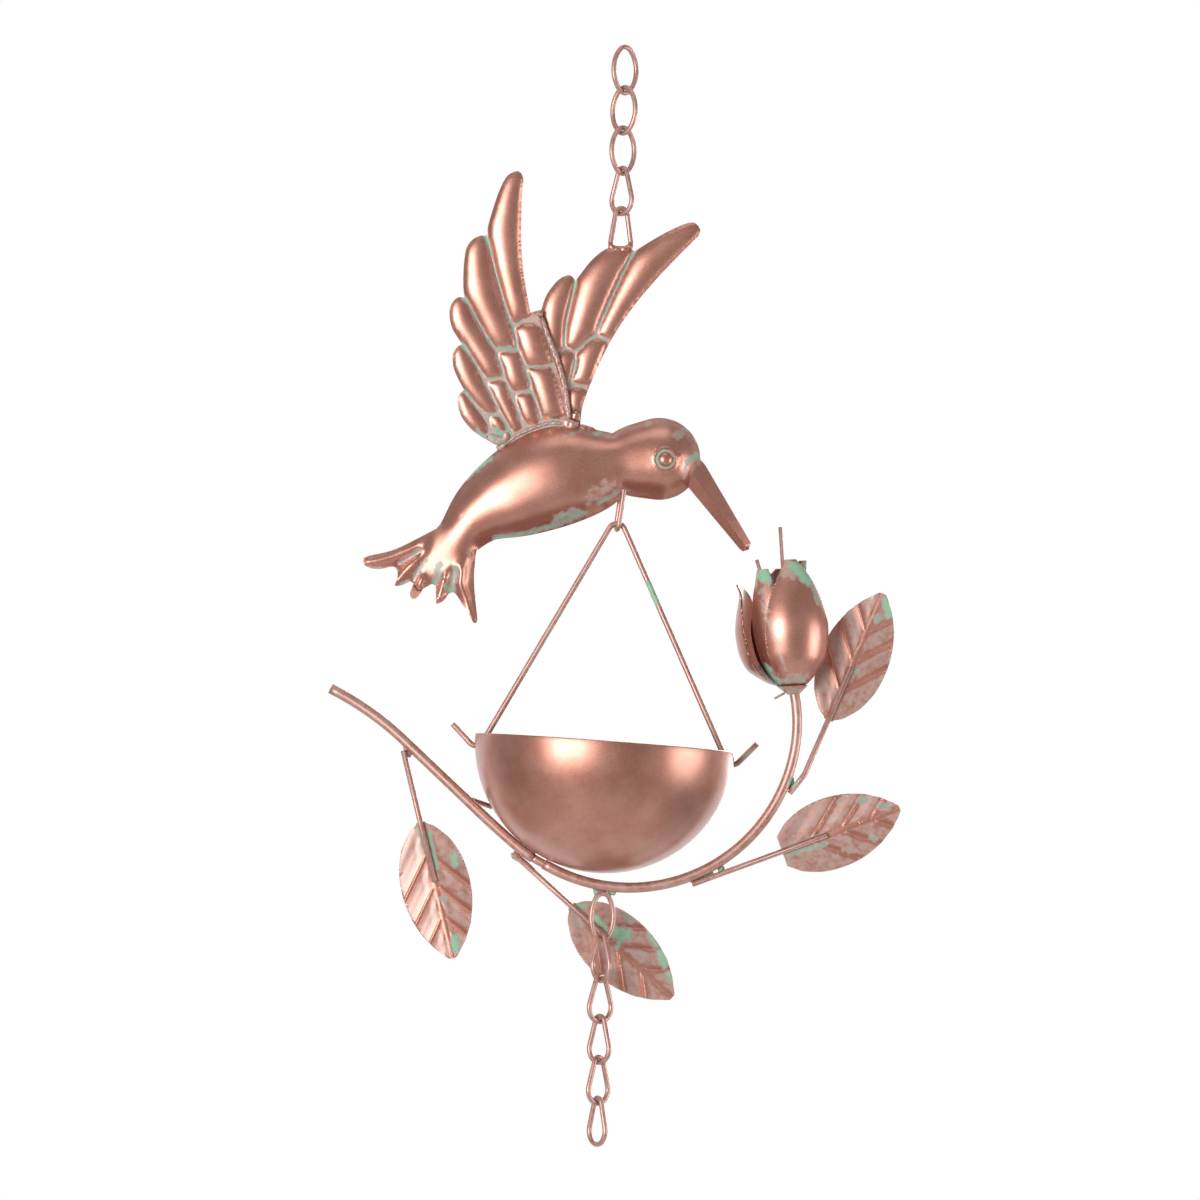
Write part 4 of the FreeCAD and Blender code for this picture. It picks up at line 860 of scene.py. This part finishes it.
def eye_height(xz):
    """The bead of the eye in its sunk ring with a lip round it."""
    reach = np.hypot(xz[:, 0] - EYE_CENTRE[0], xz[:, 1] - EYE_CENTRE[1])
    bead = np.sqrt(np.clip(1 - (reach / EYE_BEAD) ** 2, 0.0, 1.0))
    ring = np.clip((EYE_RIM + 0.2 - reach) / 0.4, 0.0, 1.0)
    lip = np.exp(-((reach - EYE_RIM - 0.5) / 0.35) ** 2)
    return EYE_RISE * bead - EYE_SINK * ring + EYE_LIP * lip


def beak(name):
    """Half of the ridged beak, closed along the seam."""
    ring = [((tx, 0, tz), (rx, -ry, rz), (bx, 0, bz)) for (tx, tz), (rx, rz, ry), (bx, bz) in BEAK_SECTIONS]
    faces = [(0, 1, 2), (11, 10, 9)]
    for k in range(0, 9, 3):
        faces += [(k + a, k + 3 + a, k + 3 + b, k + b) for a, b in ((0, 1), (1, 2), (2, 0))]
    mesh = bpy.data.meshes.new(name)
    mesh.from_pydata((np.array(ring).reshape(-1, 3) * MM).tolist(), [], faces)
    return new_piece(name, mesh)


def bird_height(xz, edges, rows, fans):
    """How far the bird's side stands out: a swelling body that flows into a ridged tail."""
    score, nearest = envelope(rows, xz)
    round_back = soften(rows[nearest, 3] * swell(score), edges, BODY_ROUNDS, score < 0.02)
    depth = depths_in(xz, fans)[0]
    in_fan = depth > -0.02
    climb = PALM_SLOPE * np.clip(xz[:, 0] - PALM_START, 0.0, PALM_RUN)
    palm = TAIL_BASE + climb * np.clip(depth / PALM_RIM, 0.0, 1.0)
    fan = np.where(in_fan, palm, -9.0)
    height = 0.5 * (round_back + fan + np.hypot(round_back - fan, np.where(in_fan, 1.2, 0.5)))
    flowing = soften(height, edges, FLOW_ROUNDS, (depth < 0.3) & (score < 0.03))
    height += (flowing - height) * np.clip((FLOW_START - xz[:, 0]) / FLOW_RUN, 0.0, 1.0)
    relief = soften(tail_relief(xz) * np.clip(1.2 - 1.6 * score, 0.0, 1.0), edges, 2)
    height = np.maximum(height + np.where(in_fan, relief, 0.0) + eye_height(xz), 0.0)
    return np.where((score < 0.004) & ~in_fan, 0.0, height)


def bird_half(name):
    """A pressed half of the bird, closed along the seam, with its half of the beak."""
    rear = name == "bird_rear_half"
    rows = smooth_rows(BODY_DISCS, 0.5)
    fans = [outline_of(TAIL_LOBES)] + ([outline_of(REAR_TIP)] if rear else [])
    xz, triangles = sheet_grid([disc_outline(rows)] + fans, BIRD_SPACING, EYE_CENTRE + (EYE_RIM + 1.6,))
    height = bird_height(xz, edges_of(triangles), rows, fans)
    places = np.column_stack([xz[:, 0], -height, xz[:, 1]])
    piece = pressed_sheet(name + "_pressed", places, triangles, SHEET)
    places = points_of(piece)
    places[:, 1] = np.minimum(places[:, 1], 0.0)
    move_points(piece, places)
    select_only(beak(name + "_beak"))
    piece.select_set(True)
    bpy.context.view_layer.objects.active = piece
    bpy.ops.object.join()
    if rear:
        move_points(piece, points_of(piece) * (1, -1, 1))
    edit(piece)
    bpy.ops.mesh.remove_doubles(threshold=MERGE)
    bpy.ops.mesh.normals_make_consistent(inside=False)
    close_edit()
    return piece


def eye_stain(points):
    """Verdigris in the ring round the eye, thinner towards the beak."""
    reach = np.hypot(points[:, 0] - EYE_CENTRE[0], points[:, 2] - EYE_CENTRE[1])
    ring = np.where((reach > EYE_BEAD + 0.1) & (reach < EYE_RIM), 0.7, 0.0)
    return ring * (1 - 0.25 * (points[:, 0] - EYE_CENTRE[0]) / EYE_RIM)


class RAIN_OT_bird(bpy.types.Operator):
    """Finishes the two halves of the bird"""
    bl_idname = "rain.bird"
    bl_label = "Bird"

    def execute(self, context):
        paint = copper_paint("Copper paint on pressed bird", stained=True)
        for name in ("bird_front_half", "bird_rear_half"):
            piece = bird_half(name)
            points = points_of(piece)
            stain(piece, np.maximum(stains_at(points, BIRD_STAINS), eye_stain(points)))
            dress(piece, "bird_sheet", paint, name)
        return {"FINISHED"}


# Leaves
def leaf_place(points, heading):
    """How far along and how far across a leaf each point lies, in mm."""
    middle = points.mean(axis=0)
    spread = np.linalg.eigh(np.cov((points - middle).T))[1][:, 2]
    if spread[0] * heading[0] + spread[2] * heading[1] < 0:
        spread = -spread
    side = np.cross(spread, (0, 1, 0))
    side /= np.linalg.norm(side)
    along = (points - middle) @ spread
    return along - along.min(), (points - middle) @ side


def leaf_piece(name):
    """A pressed leaf with raised veins and softly bowed panels between them."""
    vein = bpy.context.scene.rain_relief.vein / MM
    piece = smooth_copy(name, name + "_pressed", cuts=1)
    points = points_of(piece)
    along, across = leaf_place(points, LEAF_HEADINGS[name])
    phase = (along - np.abs(across) * LEAF_SWEEP + LEAF_VEIN_OFFSET) / LEAF_VEIN_PITCH
    nearest = np.clip(np.round(phase), 1, LEAF_VEINS)
    square = LEAF_VEIN_PITCH / math.hypot(1, LEAF_SWEEP)
    gap = np.abs(phase - nearest) * square
    clear = np.clip((np.abs(across) - 0.6) / 1.2, 0.0, 1.0)
    middle = np.abs(phase - np.floor(phase) - 0.5) * square
    rib = np.exp(-(across / RIB_WIDTH) ** 2) * np.clip((along - RIB_START) / RIB_RUN, 0.0, 1.0)
    ridge = np.maximum(np.exp(-(gap / VEIN_WIDTH) ** 2) * clear, rib)
    points[:, 1] -= vein * (ridge + 0.5 * np.exp(-(middle / PANEL_WIDTH) ** 2) * clear)
    move_points(piece, points)
    panel = np.clip((np.minimum(gap, np.abs(across) + 0.2) - 0.3) / 1.6, 0.0, 1.0)
    stain(piece, np.maximum(LEAF_CLEAN + LEAF_HAZE * panel, stains_at(points, LEAF_STAINS[name])))
    return piece


class RAIN_OT_leaves(bpy.types.Operator):
    """Presses the veins of the four leaves"""
    bl_idname = "rain.leaves"
    bl_label = "Leaves"

    def execute(self, context):
        paint = copper_paint("Copper paint on pressed leaf", stained=True, wear=0.17, sheen=0.46)
        for name in LEAF_HEADINGS:
            dress(leaf_piece(name), "leaf_sheet", paint, name)
        return {"FINISHED"}


# Flower
class RAIN_OT_flower(bpy.types.Operator):
    """Finishes the petals of the bud"""
    bl_idname = "rain.flower"
    bl_label = "Flower"

    def execute(self, context):
        paint = copper_paint("Copper paint on rolled petal", stained=True)
        # The outer petal gets a darker copy of the same paint: painted shade
        shade = copper_paint("Copper paint on outer petal", stained=True, deeper_paint_and_painted_shade=0.5)
        for name in PETALS:
            piece = smooth_copy(name, name + "_painted", cuts=1 if name == "petal_front" else 0)
            stain(piece, stains_at(points_of(piece), PETAL_STAINS))
            dress(piece, "petal_sheet", shade if name == "petal_outer" else paint, name)
        return {"FINISHED"}


# Wirework
class RAIN_OT_wirework(bpy.types.Operator):
    """Finishes the links, the bail, the branch and the stems"""
    bl_idname = "rain.wirework"
    bl_label = "Wirework"

    def execute(self, context):
        paint = copper_paint("Copper paint on steel wire", spots=WIRE_STAINS, bloom=0.4, wear=0.12,
                             grain=0.4)
        sheets = {*WINGS, *LEAF_HEADINGS, *PETALS, "bird_front_half", "bird_rear_half", "bowl"}
        for name in frame["nodes"]:
            if name not in sheets:
                slot = "petal_sheet" if name == "flower_base" else "wire"
                dress(smooth_copy(name, name + "_painted"), slot, paint, name)
        return {"FINISHED"}


# Bowl
def bowl_profile():
    """Half of the bowl's section from the bottom outside, over the lip, to the bottom inside, in mm."""
    turns = np.linspace(-math.pi / 2, 0.0, 60)
    outside = [(BOWL_RADIUS * math.cos(a), BOWL_RADIUS * math.sin(a)) for a in turns[:-1]]
    middle = BOWL_RADIUS - BOWL_WALL / 2
    lip = [(middle + BOWL_WALL / 2 * math.cos(a), BOWL_WALL / 2 * math.sin(a) - BOWL_WALL / 2)
           for a in np.linspace(0.0, math.pi, 7)]
    within = BOWL_RADIUS - BOWL_WALL
    return outside[:-1] + lip + [(within * math.cos(a), within * math.sin(a)) for a in turns[-3::-1]]


def bowl_piece():
    """A spun bowl with a rolled lip and a hole for each hook, tipped as it hangs."""
    mesh = bpy.data.meshes.new("bowl")
    line = [(r * MM, 0.0, z * MM) for r, z in bowl_profile()]
    mesh.from_pydata(line, [(k, k + 1) for k in range(len(line) - 1)], [])
    piece = new_piece("bowl_spun", mesh)
    edit(piece)
    bpy.ops.mesh.spin(steps=BOWL_STEPS, angle=2 * math.pi, center=(0, 0, 0), axis=(0, 0, 1))
    bpy.ops.mesh.select_all(action="SELECT")
    bpy.ops.mesh.remove_doubles(threshold=MERGE)
    bpy.ops.mesh.normals_make_consistent(inside=False)
    bpy.ops.object.mode_set(mode="OBJECT")
    drop = HOOK_DROP + BOWL_HOLE / 2 - BAIL_WIRE / 2 - LINK_GAP
    bpy.ops.mesh.primitive_cylinder_add(vertices=32, radius=BOWL_HOLE / 2 * MM, depth=3 * BOWL_RADIUS * MM,
                                        location=(0, 0, -drop * MM), rotation=(0, math.pi / 2, 0))
    drill = bpy.context.object
    select_only(piece)
    bpy.ops.object.modifier_add(type="BOOLEAN")
    piece.modifiers[-1].object = drill
    bpy.ops.object.modifier_apply(modifier=piece.modifiers[-1].name)
    bpy.data.objects.remove(drill)
    x, z = BOWL_CENTRE
    piece.data.transform(Matrix.Translation((x * MM, 0, z * MM))
                         @ Matrix.Rotation(math.radians(BOWL_TILT), 4, "Y"))
    bpy.ops.object.shade_smooth_by_angle(angle=math.radians(BOWL_CREASE))
    return piece


class RAIN_OT_bowl(bpy.types.Operator):
    """Spins the bowl"""
    bl_idname = "rain.bowl"
    bl_label = "Bowl"

    def execute(self, context):
        # The bowl's paint is darkened in round spots as painted shade, standing in for dark reflections
        paint = copper_paint("Copper paint on spun bowl", painted_shade=BOWL_PAINTED_SHADE, deeper_paint_and_painted_shade=0.15)
        dress(bowl_piece(), "bowl_sheet", paint, "bowl")
        return {"FINISHED"}


# Solder
def solder_piece(name, lumps):
    """Lumps of solder, plump on both sides."""
    points = np.empty((0, 3))
    marks = np.empty(0)
    faces = []
    for outline, middle, lean, plump, mark in lumps:
        line = smooth_rows(outline + outline[:1], SOLDER_SPACING)
        xz, triangles = sheet_grid([line], SOLDER_SPACING)
        x, z = xz.T
        free = rim_distance(xz, line) > RIM_PIN
        height = plump * pillow(free, edges_of(triangles), SOLDER_SPACING, SOLDER_ROUNDS)
        height *= 1 + SOLDER_LUMPS * np.sin(1.9 * x + 1.1 * z) * np.sin(1.7 * z - 0.7 * x)
        for side in (-1, 1):
            faces += [tuple(k + len(points) for k in f) for f in triangles]
            y = middle - lean * (z - WING_FOOT_Z) + side * height
            points = np.vstack([points, np.column_stack([x, y, z])])
            marks = np.append(marks, np.full(len(xz), mark))
    mesh = bpy.data.meshes.new(name)
    mesh.from_pydata((points * MM).tolist(), [], faces)
    piece = new_piece(name, mesh)
    stain(piece, marks)
    edit(piece)
    bpy.ops.mesh.remove_doubles(threshold=MERGE)
    bpy.ops.mesh.normals_make_consistent(inside=False)
    close_edit(SOLDER_CREASE)
    return piece


class RAIN_OT_solder(bpy.types.Operator):
    """Runs solder into the joints of the bird and of the branch"""
    bl_idname = "rain.solder"
    bl_label = "Solder"

    def execute(self, context):
        paint = copper_paint("Copper paint on solder", stained=True)
        dress(solder_piece("bird_solder", BIRD_SOLDER), "bird_sheet", paint, body="bird")
        dress(solder_piece("branch_solder", BRANCH_SOLDER), "wire", paint, body="bowl")
        return {"FINISHED"}


# Stage
def floor():
    """A plain pale floor under the chain, white where it is seen and nearly so where it is mirrored."""
    bpy.ops.mesh.primitive_circle_add(
        vertices=96, radius=FLOOR_RADIUS, fill_type="NGON", location=(0, 0, FLOOR_Z))
    made = bpy.context.object
    made.name = "floor"
    # A matt pale board gives an even ground without a mirror image
    material = bpy.data.materials.new("Pale matt floor")
    material.use_nodes = True
    tree = material.node_tree
    shader = tree.nodes["Principled BSDF"]
    shader.inputs["Base Color"].default_value = linear("#E8E8E6")
    shader.inputs["Roughness"].default_value = 0.9
    path = node(tree, "ShaderNodeLightPath")
    seen = node(tree, "ShaderNodeMath", {"operation": "MAXIMUM"}, {
        0: path.outputs["Is Camera Ray"], 1: path.outputs["Is Transmission Ray"]}).outputs[0]
    bright = node(tree, "ShaderNodeMath", {"operation": "MAXIMUM"}, {0: seen, 1: 0.75}).outputs[0]
    seen = node(tree, "ShaderNodeMath", {"operation": "MAXIMUM"}, {
        0: seen, 1: path.outputs["Is Glossy Ray"]}).outputs[0]
    glow = node(tree, "ShaderNodeEmission", {}, {"Strength": bright}).outputs[0]
    mixed = node(tree, "ShaderNodeMixShader", {}, {0: seen, 1: shader.outputs[0], 2: glow}).outputs[0]
    tree.links.new(mixed, tree.nodes["Material Output"].inputs["Surface"])
    made.data.materials.append(material)


def lamp(name, power, size, offset):
    """A square soft lamp that shines on the middle of the chain."""
    data = bpy.data.lights.new(name, "AREA")
    data.energy = power
    data.size = size
    made = bpy.data.objects.new(name, data)
    made.location = MIDDLE + Vector(offset)
    made.visible_camera = False
    made.rotation_euler = (-Vector(offset)).to_track_quat("-Z", "Y").to_euler()
    bpy.context.scene.collection.objects.link(made)


def backdrop():
    """A pale studio: white where it is seen, and mirrored in the metal from behind and from below."""
    world = bpy.data.worlds.new("Pale studio")
    bpy.context.scene.world = world
    world.use_nodes = True
    tree = world.node_tree
    back = tree.nodes["Background"]
    path = node(tree, "ShaderNodeLightPath")
    facing = node(tree, "ShaderNodeSeparateXYZ", {}, {
        0: node(tree, "ShaderNodeTexCoord").outputs["Generated"]})
    behind = node(tree, "ShaderNodeMapRange", SMOOTH, {
        "Value": facing.outputs["Y"], "From Min": 0.2, "From Max": 0.75,
        "To Min": 0.2, "To Max": 1.0}).outputs["Result"]
    below = node(tree, "ShaderNodeMapRange", SMOOTH, {
        "Value": facing.outputs["Z"], "From Min": -0.4, "From Max": -0.75,
        "To Min": 0.0, "To Max": 0.65}).outputs["Result"]
    mirrored = node(tree, "ShaderNodeMath", {"operation": "MAXIMUM"}, {0: behind, 1: below}).outputs[0]
    strength = node(tree, "ShaderNodeMath", {"operation": "MULTIPLY"}, {
        0: path.outputs["Is Glossy Ray"], 1: mirrored}).outputs[0]
    for other in (path.outputs["Is Camera Ray"], path.outputs["Is Transmission Ray"], 0.3):
        strength = node(tree, "ShaderNodeMath", {"operation": "MAXIMUM"}, {
            0: strength, 1: other}).outputs[0]
    tree.links.new(strength, back.inputs["Strength"])
    back.inputs["Color"].default_value = (1, 1, 1, 1)


def photo_camera(stage):
    """A camera level with the chain, a little below it, that leans as the picture does."""
    look = Vector((0, math.cos(stage.rise), -math.sin(stage.rise)))
    data = bpy.data.cameras.new("camera")
    data.sensor_width = SENSOR
    data.lens = SENSOR * stage.distance / stage.width
    camera = bpy.data.objects.new("camera", data)
    turn = look.to_track_quat("-Z", "Y").to_matrix().to_4x4() @ Matrix.Rotation(stage.roll, 4, "Z")
    camera.matrix_world = Matrix.Translation(MIDDLE - look * stage.distance) @ turn
    bpy.context.scene.collection.objects.link(camera)
    bpy.context.scene.camera = camera


class RAIN_OT_stage(bpy.types.Operator):
    """Sets up the floor, the lamps, the pale backdrop and the camera"""
    bl_idname = "rain.stage"
    bl_label = "Stage"

    def execute(self, context):
        stage = context.scene.rain_stage
        context.scene.view_settings.view_transform = "Standard"
        floor()
        for name, (size, offset) in LAMPS.items():
            lamp(name + "_lamp", getattr(stage, name), size, offset)
        backdrop()
        photo_camera(stage)
        return {"FINISHED"}


# Panel and start
class RAIN_PT_panel(bpy.types.Panel):
    """Lists the pieces"""
    bl_label = "Rain Chain"
    bl_idname = "RAIN_PT_panel"
    bl_space_type = "VIEW_3D"
    bl_region_type = "UI"
    bl_category = "Rain Chain"

    def draw(self, context):
        for step in STEPS:
            self.layout.operator(step.bl_idname)


STEPS = (RAIN_OT_wings, RAIN_OT_bird, RAIN_OT_leaves, RAIN_OT_flower, RAIN_OT_wirework, RAIN_OT_bowl,
         RAIN_OT_solder, RAIN_OT_stage)
CLASSES = (FinishSettings, ReliefSettings, StageSettings) + STEPS + (RAIN_PT_panel,)


def register():
    for kind in CLASSES:
        bpy.utils.register_class(kind)
    bpy.types.Scene.rain_finish = bpy.props.PointerProperty(type=FinishSettings)
    bpy.types.Scene.rain_relief = bpy.props.PointerProperty(type=ReliefSettings)
    bpy.types.Scene.rain_stage = bpy.props.PointerProperty(type=StageSettings)


def unregister():
    del bpy.types.Scene.rain_stage
    del bpy.types.Scene.rain_relief
    del bpy.types.Scene.rain_finish
    for kind in reversed(CLASSES):
        bpy.utils.unregister_class(kind)


def main():
    register()
    bpy.ops.rain.wings()
    bpy.ops.rain.bird()
    bpy.ops.rain.leaves()
    bpy.ops.rain.flower()
    bpy.ops.rain.wirework()
    bpy.ops.rain.bowl()
    bpy.ops.rain.solder()
    bpy.ops.rain.stage()


if __name__ == "__main__":
    main()
